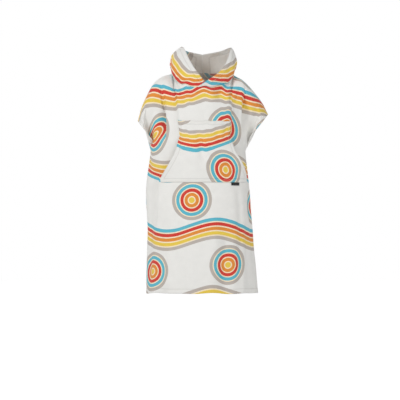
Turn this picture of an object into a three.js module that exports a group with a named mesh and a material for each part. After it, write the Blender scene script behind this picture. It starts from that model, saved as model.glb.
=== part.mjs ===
// A hooded bath poncho in worn, hollow form: front and back cut in one with short sleeves,
// a hood in two halves, a kangaroo pocket and a small blank label tab.
// Millimetres, +Z up, the front faces -Y. The origin is between the shoulders, at the foot of the neck.
// Each piece is a cloth wall. Its outer points come from a flat cut, u across and v up from the hem.
import * as THREE from "three";

// Cloth and seams
const CLOTH = 2.4;
const SEAM = 0.3;
const PATCH_SEAM = 0.6;
const LABEL_CLOTH = 1.2;

// The flat cut
const SIDE_U = 350;
const CUFF_U = 430;
const NECK_U = 140;
const ARM_V = 655;
const NECK_V = 1020;
const CUFF_V = 925;
const NECK_DROP = { front: 75, back: 18 };

// Places in the worn form
const HEM_Z = -1007;
const ARM_Z = -355;
const NECK_FRONT = { depth: 112, z: -70 };
const NECK_BACK = { depth: 88, z: 12 };

// The tube below the arms, a row for each height: middle and half width, depths, how far the centre
// front is turned towards +X, in degrees, and how square the section is on that side.
const BODY = [
  { z: -1007, middle: -1, half: 257, front: 170, back: 164, turn: 3, square: 0.05 },
  { z: -902, middle: -5, half: 252, front: 166, back: 158, turn: 5, square: 0.08 },
  { z: -810, middle: -8, half: 246, front: 162, back: 152, turn: 7, square: 0.1 },
  { z: -708, middle: -11, half: 241, front: 158, back: 146, turn: 9, square: 0.15 },
  { z: -566, middle: -20, half: 239, front: 154, back: 138, turn: 11, square: 0.24 },
  { z: -497, middle: -22, half: 235, front: 152, back: 135, turn: 12, square: 0.28 },
  { z: -419, middle: -21, half: 226, front: 149, back: 134, turn: 10, square: 0.26 },
  { z: -355, middle: -20, half: 218, front: 146, back: 134, turn: 8, square: 0.22 },
];

// The line over each shoulder and down the top of the sleeve, from the neck to the cuff.
const SHOULDER = {
  "-1": [
    { u: 140, x: -137, z: 5 },
    { u: 196, x: -191, z: -16 },
    { u: 240, x: -225, z: -45 },
    { u: 295, x: -252, z: -92 },
    { u: 360, x: -279, z: -150 },
    { u: 430, x: -297, z: -216 },
  ],
  1: [
    { u: 140, x: 140, z: -2 },
    { u: 190, x: 184, z: -28 },
    { u: 240, x: 220, z: -62 },
    { u: 300, x: 255, z: -103 },
    { u: 360, x: 283, z: -142 },
    { u: 430, x: 303, z: -184 },
  ],
};

// Where the underside of each sleeve ends at the cuff.
const CUFF_LOW = { "-1": { x: -224, z: -312 }, 1: { x: 216, z: -296 } };

// How far the cloth over chest, shoulder and arm stands out from the straight line between its ends.
const BULGE = [
  { u: 0, front: 12, back: 24 },
  { u: 70, front: 26, back: 34 },
  { u: 140, front: 56, back: 54 },
  { u: 200, front: 62, back: 58 },
  { u: 270, front: 60, back: 58 },
  { u: 350, front: 66, back: 66 },
  { u: 430, front: 88, back: 86 },
];

// Where, across the flat cut, the cloth begins to bend over the shoulder and to close round the arm.
const ROUND = { shoulderFrom: 110, shoulderTo: 190, sleeveFrom: 310, sleeveTo: 425 };

// Folds of the front and back. lowU and highU are where the fold's line lies at the heights low
// and high. It is deepest at the height mid, as deep as depth, and sinks in over the width steep
// on its inner side and comes out again over the width soft on its outer side.
const FOLDS = {
  front: [
    { lowU: -206, highU: -186, low: -330, mid: -215, high: -62, depth: 34, steep: 16, soft: 74 },
    { lowU: 226, highU: 196, low: -330, mid: -200, high: -62, depth: 34, steep: 16, soft: 74 },
    { lowU: -258, highU: -236, low: -720, mid: -530, high: -400, depth: 22, steep: 14, soft: 80 },
    { lowU: -132, highU: -126, low: -330, mid: -76, high: 10, depth: 7, steep: 14, soft: 40 },
    { lowU: -96, highU: -92, low: -1240, mid: -1000, high: -600, depth: 9, steep: 46, soft: 60 },
    { lowU: 92, highU: 84, low: -1240, mid: -1000, high: -640, depth: 10, steep: 60, soft: 60 },
    { lowU: -206, highU: -214, low: -1240, mid: -980, high: -700, depth: 11, steep: 44, soft: 60 },
    { lowU: 232, highU: 236, low: -1240, mid: -900, high: -500, depth: 12, steep: 50, soft: 70 },
    { lowU: 60, highU: 40, low: -190, mid: -92, high: -30, depth: 6, steep: 30, soft: 40 },
    { lowU: -30, highU: -46, low: -190, mid: -96, high: -30, depth: 5, steep: 34, soft: 36 },
  ],
  back: [
    { lowU: -208, highU: -190, low: -380, mid: -220, high: -60, depth: 22, steep: 30, soft: 70 },
    { lowU: 208, highU: 190, low: -380, mid: -220, high: -60, depth: 22, steep: 30, soft: 70 },
    { lowU: -60, highU: -40, low: -1300, mid: -900, high: -260, depth: 15, steep: 54, soft: 64 },
    { lowU: 78, highU: 50, low: -1300, mid: -860, high: -300, depth: 13, steep: 54, soft: 64 },
    { lowU: -196, highU: -150, low: -1300, mid: -900, high: -400, depth: 16, steep: 50, soft: 60 },
    { lowU: 204, highU: 160, low: -1300, mid: -940, high: -380, depth: 15, steep: 50, soft: 60 },
  ],
};

// The sleeves sweep back a little past this half width, most at the right sleeve.
const SWEEP = { from: 150, "-1": 0.0008, 1: 0.0018, low: -420, high: -260 };

// The kangaroo pocket in the flat cut: half widths and heights of its sides, and how far it stands off.
const POCKET = { low: 222, top: 124, v0: 508, vSlant: 522, vTop: 715, v1: 787 };
const POCKET_ROOM = { middle: 17, mouth: 27 };

// The blank label tab under the pocket's seam.
const LABEL = { u: 131, wide: 55, high: 13 };

// Half the hood, a row for each place round the neck from the centre front, w 0, to the centre back,
// w 1: the rim's place, and how the cloth leaves the neck seam and the rim, out and up.
const HOOD = {
  "-1": [
    { w: 0, x: 12, y: -119, z: -48, out: 3, up: 8, rimOut: 3, rimUp: -7 },
    { w: 0.12, x: -15, y: -113, z: -14, out: 6, up: 10, rimOut: 6, rimUp: -18 },
    { w: 0.24, x: -38, y: -97, z: 19, out: 24, up: -4, rimOut: 28, rimUp: -24 },
    { w: 0.36, x: -61, y: -68, z: 61, out: 26, up: 16, rimOut: 52, rimUp: -28 },
    { w: 0.5, x: -84, y: -20, z: 115, out: 24, up: 34, rimOut: 74, rimUp: -22 },
    { w: 0.66, x: -98, y: 52, z: 130, out: 44, up: 10, rimOut: 74, rimUp: -38 },
    { w: 0.82, x: -74, y: 122, z: 120, out: 74, up: -62, rimOut: 88, rimUp: -92 },
    { w: 1, x: 0, y: 158, z: 108, out: 92, up: -104, rimOut: 100, rimUp: -128 },
  ],
  1: [
    { w: 0, x: -2, y: -119, z: -57, out: 2, up: 6, rimOut: 2, rimUp: -5 },
    { w: 0.12, x: 36, y: -117, z: -31, out: 8, up: 8, rimOut: 6, rimUp: -14 },
    { w: 0.24, x: 81, y: -90, z: 4, out: 22, up: -4, rimOut: 18, rimUp: -24 },
    { w: 0.36, x: 112, y: -56, z: 54, out: 22, up: 16, rimOut: 26, rimUp: -30 },
    { w: 0.5, x: 131, y: -8, z: 114, out: 28, up: 34, rimOut: 34, rimUp: -34 },
    { w: 0.66, x: 126, y: 60, z: 128, out: 44, up: 10, rimOut: 50, rimUp: -40 },
    { w: 0.82, x: 84, y: 124, z: 120, out: 74, up: -62, rimOut: 84, rimUp: -92 },
    { w: 1, x: 0, y: 158, z: 108, out: 92, up: -104, rimOut: 100, rimUp: -128 },
  ],
};
// At the centre front the wearer's left half of the hood laps over the right half.
const LAP = { past: 0.09, width: 0.24, lift: 4.6 };
const HOOD_LIFT = 0.75;

// How finely each wall is divided. The columns of a panel, from its middle out, are closest at the folds.
const COLUMNS = [0, 24, 47, 69, 90, 108, 125, 140, 158, 173, 185, 195, 204, 214, 226, 240, 262, 292, 322, 350];
const GRID = { sleeve: 4, low: 20, high: 13, hoodRound: 22, hoodUp: 10, pocketU: 24, pocketV: 12 };

const RIGHT_ANGLE = Math.PI / 2;
const clamp = (value, low, high) => Math.min(high, Math.max(low, value));
const mix = (a, b, t) => a + (b - a) * t;
const ease = (t) => clamp(t, 0, 1) ** 2 * (3 - 2 * clamp(t, 0, 1));

// One column of a table as a smooth curve through its rows.
function read(table, key, column, at) {
  let i = 0;
  while (i < table.length - 2 && at > table[i + 1][key]) i += 1;
  const slope = (k) => {
    const a = table[Math.max(k - 1, 0)];
    const b = table[Math.min(k + 1, table.length - 1)];
    return (b[column] - a[column]) / (b[key] - a[key]);
  };
  const [p, q] = [table[i], table[i + 1]];
  const step = q[key] - p[key];
  const t = clamp((at - p[key]) / step, 0, 1);
  const bend = t * t * (3 - 2 * t);
  return (
    mix(p[column], q[column], bend) +
    step * (slope(i) * t * (1 - t) ** 2 - slope(i + 1) * t * t * (1 - t))
  );
}

// The tube's section at a height, at u across, on the front (-1) or back (+1).
function tubePoint(face, u, z) {
  const at = (column) => read(BODY, "z", column, z);
  const depth = at(face < 0 ? "front" : "back");
  const half = at("half");
  const s = u / SIDE_U;
  const even = (half - depth) / (2 * (half + depth));
  const turn = THREE.MathUtils.degToRad(at("turn")) * (1 - s * s) * -face;
  const angle = RIGHT_ANGLE * s - even * Math.sin(Math.PI * s) + turn;
  const x = at("middle") + half * Math.sin(angle) * (1 + (angle > 0 ? at("square") * Math.cos(angle) ** 2 : 0));
  return new THREE.Vector3(x, face * depth * Math.cos(angle), z);
}

// The neckline, t from -1 at the right shoulder of the wearer to +1 at the left.
function neckPoint(face, t) {
  const neck = face < 0 ? NECK_FRONT : NECK_BACK;
  const side = t < 0 ? -1 : 1;
  const end = SHOULDER[side][0];
  const angle = RIGHT_ANGLE * t;
  return new THREE.Vector3(
    Math.abs(end.x) * Math.sin(angle),
    face * neck.depth * Math.cos(angle),
    mix(end.z, neck.z, 1 - t * t),
  );
}

// The top edge of a panel in the worn form: neckline, shoulder and the top of the sleeve.
function topPoint(face, u) {
  if (Math.abs(u) <= NECK_U) return neckPoint(face, u / NECK_U);
  const table = SHOULDER[Math.sign(u)];
  const at = (column) => read(table, "u", column, Math.abs(u));
  return new THREE.Vector3(at("x"), 0, at("z"));
}

// The row at the height of the underarm, with the sleeves' undersides.
function armPoint(face, u) {
  if (Math.abs(u) <= SIDE_U) return tubePoint(face, u, ARM_Z);
  const low = CUFF_LOW[Math.sign(u)];
  const t = (Math.abs(u) - SIDE_U) / (CUFF_U - SIDE_U);
  return tubePoint(face, Math.sign(u) * SIDE_U, ARM_Z).lerp(new THREE.Vector3(low.x, 0, low.z), t);
}

// The panel without its folds. Over the shoulders and at the cuffs its section is round.
function smoothPoint(face, u, v) {
  const across = Math.abs(u);
  if (v <= ARM_V && across <= SIDE_U) return tubePoint(face, u, mix(HEM_Z, ARM_Z, v / ARM_V));
  const r = clamp((v - ARM_V) / (topV(face, u) - ARM_V), 0, 1);
  const shoulder = ease((across - ROUND.shoulderFrom) / (ROUND.shoulderTo - ROUND.shoulderFrom));
  const sleeve = ease((across - ROUND.sleeveFrom) / (ROUND.sleeveTo - ROUND.sleeveFrom));
  const overShoulder = mix(r, Math.sin(RIGHT_ANGLE * r), shoulder);
  const point = armPoint(face, u).lerp(topPoint(face, u), mix(overShoulder, Math.sin(RIGHT_ANGLE * r) ** 2, sleeve));
  const bulge = read(BULGE, "u", face < 0 ? "front" : "back", across);
  point.y += face * bulge * mix(Math.sin(Math.PI * r ** 1.7), Math.sin(Math.PI * r), sleeve);
  return point;
}

// The flat height of a panel's top edge.
function topV(face, u) {
  const across = Math.abs(u);
  if (across >= NECK_U) return mix(NECK_V, CUFF_V, (across - NECK_U) / (CUFF_U - NECK_U));
  return NECK_V - NECK_DROP[face < 0 ? "front" : "back"] * (1 - (u / NECK_U) ** 2);
}

// How deep the folds are at a place.
function foldDepth(face, u, z) {
  return FOLDS[face < 0 ? "front" : "back"].reduce((sum, fold) => {
    if (z <= fold.low || z >= fold.high) return sum;
    const reach = z < fold.mid ? (z - fold.low) / (fold.mid - fold.low) : (fold.high - z) / (fold.high - fold.mid);
    const line = mix(fold.lowU, fold.highU, clamp((z - fold.low) / (fold.high - fold.low), 0, 1));
    const past = (u - line) * Math.sign(line);
    const shape = past < 0 ? ease(1 + past / fold.steep) : ease(1 - past / fold.soft);
    return sum + fold.depth * ease(reach) * shape;
  }, 0);
}

// The outward direction of a surface given as a function of two numbers.
function outward(surface, a, b, sign) {
  const step = 1.5;
  const acrossA = surface(a + step, b).sub(surface(a - step, b));
  const acrossB = surface(a, b + step).sub(surface(a, b - step));
  return acrossA.cross(acrossB).normalize().multiplyScalar(sign);
}

// A place on a panel's outer face, with its outward direction. Seams lie in the plane y = 0.
function panelPlace(face, u, v) {
  const half = v < ARM_V ? SIDE_U : CUFF_U;
  const top = topV(face, u);
  const inU = clamp(u, -half + 2, half - 2);
  const base = smoothPoint(face, u, v);
  const flat = outward((a, b) => smoothPoint(face, a, b), inU, clamp(v, 2, top - 2), -face);
  const onSeam = isSeam(u, v, top);
  if (onSeam) flat.setY(0).normalize();
  const folded = (a, b) => {
    const p = smoothPoint(face, a, b);
    return p.addScaledVector(flat, -foldDepth(face, a, p.z));
  };
  const point = folded(u, v);
  const normal = onSeam ? flat.clone() : outward(folded, inU, clamp(v, 2, top - 2), -face);
  if (onSeam) point.y = (face * SEAM) / 2;
  return { point, normal, base };
}

function isSeam(u, v, top) {
  const across = Math.abs(u);
  const side = across >= SIDE_U && v <= ARM_V;
  const over = across >= NECK_U && v >= top - 1e-6;
  return side || over;
}

// The sleeves' sweep to the back, the same for every piece.
function sweep(point) {
  const side = point.x < 0 ? -1 : 1;
  const past = Math.max(0, Math.abs(point.x) - SWEEP.from);
  const share = ease((point.z - SWEEP.low) / (SWEEP.high - SWEEP.low));
  point.y += SWEEP[side] * past * past * share;
  return point;
}

// A closed wall from rows of places: the outer face, the inner face a thickness behind it, and rims.
function wall(rows, columns, place, thickness, filled = () => true) {
  const corners = [];
  const points = [];
  const corner = (i, j) => {
    const key = i * (columns + 1) + j;
    if (corners[key] === undefined) {
      const { point, normal } = place(i, j);
      corners[key] = points.length;
      points.push(sweep(point.clone()), sweep(point.clone().addScaledVector(normal, -thickness)));
    }
    return corners[key];
  };
  const inside = (i, j) => i >= 0 && j >= 0 && i < rows && j < columns && filled(i, j);
  const faces = [];
  const quad = (a, b, c, d) => faces.push(a, b, c, a, c, d);
  for (let i = 0; i < rows; i += 1) {
    for (let j = 0; j < columns; j += 1) {
      if (!inside(i, j)) continue;
      const [a, b, c, d] = [corner(i, j), corner(i, j + 1), corner(i + 1, j + 1), corner(i + 1, j)];
      quad(a, b, c, d);
      quad(d + 1, c + 1, b + 1, a + 1);
      if (!inside(i - 1, j)) quad(b, a, a + 1, b + 1);
      if (!inside(i + 1, j)) quad(d, c, c + 1, d + 1);
      if (!inside(i, j - 1)) quad(a, d, d + 1, a + 1);
      if (!inside(i, j + 1)) quad(c, b, b + 1, c + 1);
    }
  }
  const geometry = new THREE.BufferGeometry();
  geometry.setAttribute("position", new THREE.Float32BufferAttribute(points.flatMap((p) => p.toArray()), 3));
  geometry.setIndex(volume(points, faces) < 0 ? faces.reverse() : faces);
  geometry.computeVertexNormals();
  return geometry;
}

function volume(points, faces) {
  let sum = 0;
  for (let i = 0; i < faces.length; i += 3) {
    const [a, b, c] = [points[faces[i]], points[faces[i + 1]], points[faces[i + 2]]];
    sum += a.dot(b.clone().cross(c));
  }
  return sum;
}

// Front or back, with its half of both sleeves: a T in the flat cut.
function panel(face) {
  const bodyHalf = COLUMNS.length - 1;
  const half = bodyHalf + GRID.sleeve;
  const columns = 2 * half;
  const rows = GRID.low + GRID.high;
  const uOf = (j) => {
    const k = Math.abs(j - half);
    const past = clamp((k - bodyHalf) / GRID.sleeve, 0, 1);
    return Math.sign(j - half) * (COLUMNS[Math.min(k, bodyHalf)] + past * (CUFF_U - SIDE_U));
  };
  const place = (i, j) => {
    const u = uOf(j);
    const v = i <= GRID.low ? (i / GRID.low) * ARM_V : mix(ARM_V, topV(face, u), (i - GRID.low) / GRID.high);
    return panelPlace(face, u, v);
  };
  const filled = (i, j) => i >= GRID.low || (j >= GRID.sleeve && j < columns - GRID.sleeve);
  return wall(rows, columns, place, CLOTH, filled);
}

// The pocket lies on the front and stands off it, most at its two slanted mouths.
function pocket() {
  const halfAt = (v) => {
    if (v <= POCKET.vSlant) return POCKET.low;
    const t = clamp((v - POCKET.vSlant) / (POCKET.vTop - POCKET.vSlant), 0, 1);
    return mix(POCKET.low, POCKET.top, t) - 14 * Math.sin(Math.PI * t);
  };
  const room = (q, v) => {
    const p = (v - POCKET.v0) / (POCKET.v1 - POCKET.v0);
    const mouth = clamp((v - POCKET.v0) / (POCKET.vTop - POCKET.v0), 0, 1);
    const centre = POCKET_ROOM.middle * Math.sin(Math.PI * p);
    return mix(centre, POCKET_ROOM.mouth * Math.sin(Math.PI * mouth), q ** 4);
  };
  const place = (i, j) => {
    const v = mix(POCKET.v0, POCKET.v1, i / GRID.pocketV);
    const q = (2 * j) / GRID.pocketU - 1;
    const { point, normal } = panelPlace(-1, q * halfAt(v), v);
    return { point: point.addScaledVector(normal, CLOTH + PATCH_SEAM + room(q, v)), normal };
  };
  return wall(GRID.pocketV, GRID.pocketU, place, CLOTH);
}

// The tab hangs from the pocket's lower seam and lies on the front.
function label() {
  const [rows, columns] = [2, 4];
  const place = (i, j) => {
    const v = POCKET.v0 - 1 - LABEL.high * (1 - i / rows);
    const { point, normal } = panelPlace(-1, LABEL.u + LABEL.wide * (j / columns - 0.5), v);
    return { point: point.addScaledVector(normal, LABEL_CLOTH + PATCH_SEAM), normal };
  };
  return wall(rows, columns, place, LABEL_CLOTH);
}

// A place on half the hood: w round the neck, t from the neck seam up to the rim.
function hoodPoint(side, w, t) {
  const table = HOOD[side];
  const at = (column) => read(table, "w", column, w);
  const lapped = side > 0 ? LAP.past * ease(1 - w / LAP.width) : -LAP.past * 0.6 * ease(1 - w / LAP.width);
  const base = w < 0.5 ? neckPoint(-1, side * w * 2 - lapped) : neckPoint(1, side * (1 - w) * 2);
  base.z += HOOD_LIFT;
  const away = new THREE.Vector3(side * Math.sin(Math.PI * w), -Math.cos(Math.PI * w), 0);
  const up = new THREE.Vector3(0, 0, 1);
  const rim = new THREE.Vector3(at("x"), at("y"), at("z"));
  const leave = base.clone().addScaledVector(away, at("out")).addScaledVector(up, at("up"));
  const reach = rim.clone().addScaledVector(away, at("rimOut")).addScaledVector(up, at("rimUp"));
  const point = new THREE.CubicBezierCurve3(base, leave, reach, rim).getPoint(t);
  const lift = side > 0 ? LAP.lift * ease(2 - w / (LAP.width / 2)) : 0;
  return point.addScaledVector(away, lift);
}

function hood(side) {
  const surface = (a, b) => hoodPoint(side, clamp(a / 100, 0, 1), clamp(b / 100, 0, 1));
  const place = (i, j) => {
    const t = i / GRID.hoodUp;
    const w = j / GRID.hoodRound;
    const point = hoodPoint(side, w, t);
    const normal = outward(surface, clamp(w * 100, 1.6, 98.4), clamp(t * 100, 1.6, 98.4), side);
    if (j === GRID.hoodRound) {
      point.x = (side * SEAM) / 2;
      normal.setX(0).normalize();
    }
    return { point, normal };
  };
  return wall(GRID.hoodUp, GRID.hoodRound, place, CLOTH);
}

const towelling = new THREE.MeshStandardMaterial({ color: 0xe6e4df, roughness: 0.95, metalness: 0 });
const printed = new THREE.MeshStandardMaterial({ color: 0xe0a24e, roughness: 0.95, metalness: 0 });
const tape = new THREE.MeshStandardMaterial({ color: 0x151515, roughness: 0.8, metalness: 0 });

const poncho = new THREE.Group();
const sew = (name, geometry, material) => {
  const piece = new THREE.Mesh(geometry, material);
  piece.name = name;
  poncho.add(piece);
};
sew("front", panel(-1), towelling);
sew("back", panel(1), towelling);
sew("hood_right_half", hood(-1), towelling);
sew("hood_left_half", hood(1), towelling);
sew("pocket", pocket(), printed);
sew("label_tab", label(), tape);

export default poncho;
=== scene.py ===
"""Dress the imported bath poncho: printed towelling with turned hems, seams, creases and stitches.

Lengths in the tables are millimetres, as in the cut of the cloth. Meshes are made in metres.
The front faces -Y and +X is the right of the photograph. Each cloth piece is a thin shell on the form of
its solid, laid out from a flat cut: u runs across, v runs up from the hem.
"""
from __future__ import annotations

import logging
import math
from dataclasses import dataclass
from enum import Enum
from typing import Sequence

import bpy
import numpy as np
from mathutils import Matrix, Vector

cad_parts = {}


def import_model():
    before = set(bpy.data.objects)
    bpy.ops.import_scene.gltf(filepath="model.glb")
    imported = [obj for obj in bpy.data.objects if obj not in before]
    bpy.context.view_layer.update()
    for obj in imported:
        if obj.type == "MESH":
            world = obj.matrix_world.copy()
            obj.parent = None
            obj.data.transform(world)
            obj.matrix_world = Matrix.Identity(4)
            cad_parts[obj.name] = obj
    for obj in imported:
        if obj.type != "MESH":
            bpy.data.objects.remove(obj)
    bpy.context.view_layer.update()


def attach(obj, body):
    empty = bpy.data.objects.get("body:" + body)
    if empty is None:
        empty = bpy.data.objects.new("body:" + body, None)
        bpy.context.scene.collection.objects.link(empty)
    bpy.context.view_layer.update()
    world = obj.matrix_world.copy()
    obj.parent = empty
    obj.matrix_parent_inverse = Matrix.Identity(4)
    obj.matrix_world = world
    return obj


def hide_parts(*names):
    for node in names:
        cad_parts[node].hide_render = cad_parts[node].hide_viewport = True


log = logging.getLogger("poncho")

MM = 0.001
TINY = 1e-6
FAR = 1e3
CLOTH = 2.4
PATCH_SEAM = 0.6
SEAM = 0.3
SLACK = 1.3
SLACK_WAVE = 150
SLACK_SEED = 11
SEAM_FADE = 16
GROOVE = 1.1
GROOVE_WIDE = 4.0
HEM_RISE = 8.0
HEM_FADE = 420
HEM_WAVES = ((1.6, 38, 1), (1.2, 23, 0))
CUT_MAP = "cut"
EDGE_NEAR = "edge_near"
CLOTH_OUT = "cloth_out"

Array = np.ndarray
Lines = list[tuple[Array, Array]]
Stops = list[tuple[float, tuple[float, ...]]]
Table = dict[str, Sequence[float]]


class Panel(Enum):
    """The two body panels, with the side of the Y axis that each lies on."""

    FRONT = -1
    BACK = 1


class HoodHalf(Enum):
    """The two hood halves as the wearer has them, with the side of the X axis that each lies on."""

    RIGHT = -1
    LEFT = 1


def ease(t: Array) -> Array:
    """Rise smoothly from 0 to 1 as t goes from 0 to 1."""
    clipped = np.clip(t, 0.0, 1.0)
    return clipped * clipped * (3.0 - 2.0 * clipped)


def mix(a: Array, b: Array, t: Array) -> Array:
    """Go from a to b as t goes from 0 to 1."""
    return a + (b - a) * t


def read(table: Table, key: str, column: str, at: Array) -> Array:
    """Read one column of a table as a smooth curve through its rows.

    Args:
        table: Columns of equal length.
        key: The column that the places are given in, rising.
        column: The column to read.
        at: The places.

    Returns:
        The values at those places.
    """
    keys = np.asarray(table[key], dtype=float)
    values = np.asarray(table[column], dtype=float)
    last = len(keys) - 1
    before = np.maximum(np.arange(last + 1) - 1, 0)
    after = np.minimum(np.arange(last + 1) + 1, last)
    slopes = (values[after] - values[before]) / (keys[after] - keys[before])
    i = np.clip(np.searchsorted(keys, at) - 1, 0, last - 1)
    step = keys[i + 1] - keys[i]
    t = np.clip((at - keys[i]) / step, 0.0, 1.0)
    curve = step * (slopes[i] * t * (1 - t) ** 2 - slopes[i + 1] * t * t * (1 - t))
    return mix(values[i], values[i + 1], ease(t)) + curve


def unit(vectors: Array) -> Array:
    """Scale vectors to length 1."""
    return vectors / np.maximum(np.linalg.norm(vectors, axis=-1, keepdims=True), 1e-9)


def steps(*stretches: tuple[float, float, float]) -> Array:
    """Make rising places from stretches of (start, end, about how far apart).

    Args:
        stretches: The stretches in order, each starting where the one before ends.

    Returns:
        The places, from the first start to the last end.
    """
    places: list[float] = []
    for start, end, apart in stretches:
        count = max(1, round((end - start) / apart))
        places += [start + (end - start) * k / count for k in range(count)]
    return np.array(places + [stretches[-1][1]])


@dataclass(frozen=True)
class Crease:
    """A soft trough, or a ridge if its depth is below 0, along a line on the flat cut."""

    start: tuple[float, float]
    end: tuple[float, float]
    width: float
    depth: float
    bend: float = 0.0

    def sink(self, u: Array, v: Array) -> Array:
        """Give how far the crease sinks the cloth.

        Args:
            u: Places across the cut.
            v: Places up the cut.

        Returns:
            The depth in millimetres at each place.
        """
        line = np.subtract(self.end, self.start)
        length = math.hypot(*line)
        along = ((u - self.start[0]) * line[0] + (v - self.start[1]) * line[1]) / length**2
        beside = ((v - self.start[1]) * line[0] - (u - self.start[0]) * line[1]) / length
        beside = beside - self.bend * 4 * along * (1 - along)
        ends = ease((along + 0.15) / 0.4) * ease((1.15 - along) / 0.4)
        return self.depth * ends * np.exp(-((beside / self.width) ** 2))


@dataclass(frozen=True)
class Fold:
    """A large fold that hangs along a line in the worn form, with its two sides of different widths."""

    low_u: float
    high_u: float
    low_z: float
    deepest_z: float
    high_z: float
    depth: float
    inner_side: float
    outer_side: float

    def sink(self, u: Array, z: Array) -> Array:
        """Give how far the fold sinks the cloth.

        Args:
            u: Places across the cut.
            z: Heights in the worn form.

        Returns:
            The depth in millimetres at each place.
        """
        rising = (z - self.low_z) / (self.deepest_z - self.low_z)
        falling = (self.high_z - z) / (self.high_z - self.deepest_z)
        reach = np.where(z < self.deepest_z, rising, falling)
        line = mix(self.low_u, self.high_u, np.clip((z - self.low_z) / (self.high_z - self.low_z), 0, 1))
        past = (u - line) * np.sign(line)
        shape = np.where(past < 0, ease(1 + past / self.inner_side), ease(1 - past / self.outer_side))
        return self.depth * ease(reach) * shape


def ripple(u: Array, v: Array, seed: int, size: float) -> Array:
    """Give a slow unevenness between about -1 and 1 from a few sine waves with seeded directions.

    Args:
        u: Places across the cut.
        v: Places up the cut.
        seed: The seed of the directions.
        size: About how long a wave is.

    Returns:
        The unevenness at each place.
    """
    rng = np.random.default_rng(seed)
    total = np.zeros(np.broadcast(u, v).shape)
    waves = 7
    for _ in range(waves):
        angle, phase = rng.uniform(0, math.tau, 2)
        pitch = size * rng.uniform(0.6, 1.7)
        total += np.sin((u * math.cos(angle) + v * math.sin(angle)) * math.tau / pitch + phase)
    return total / math.sqrt(waves * 2)


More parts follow.
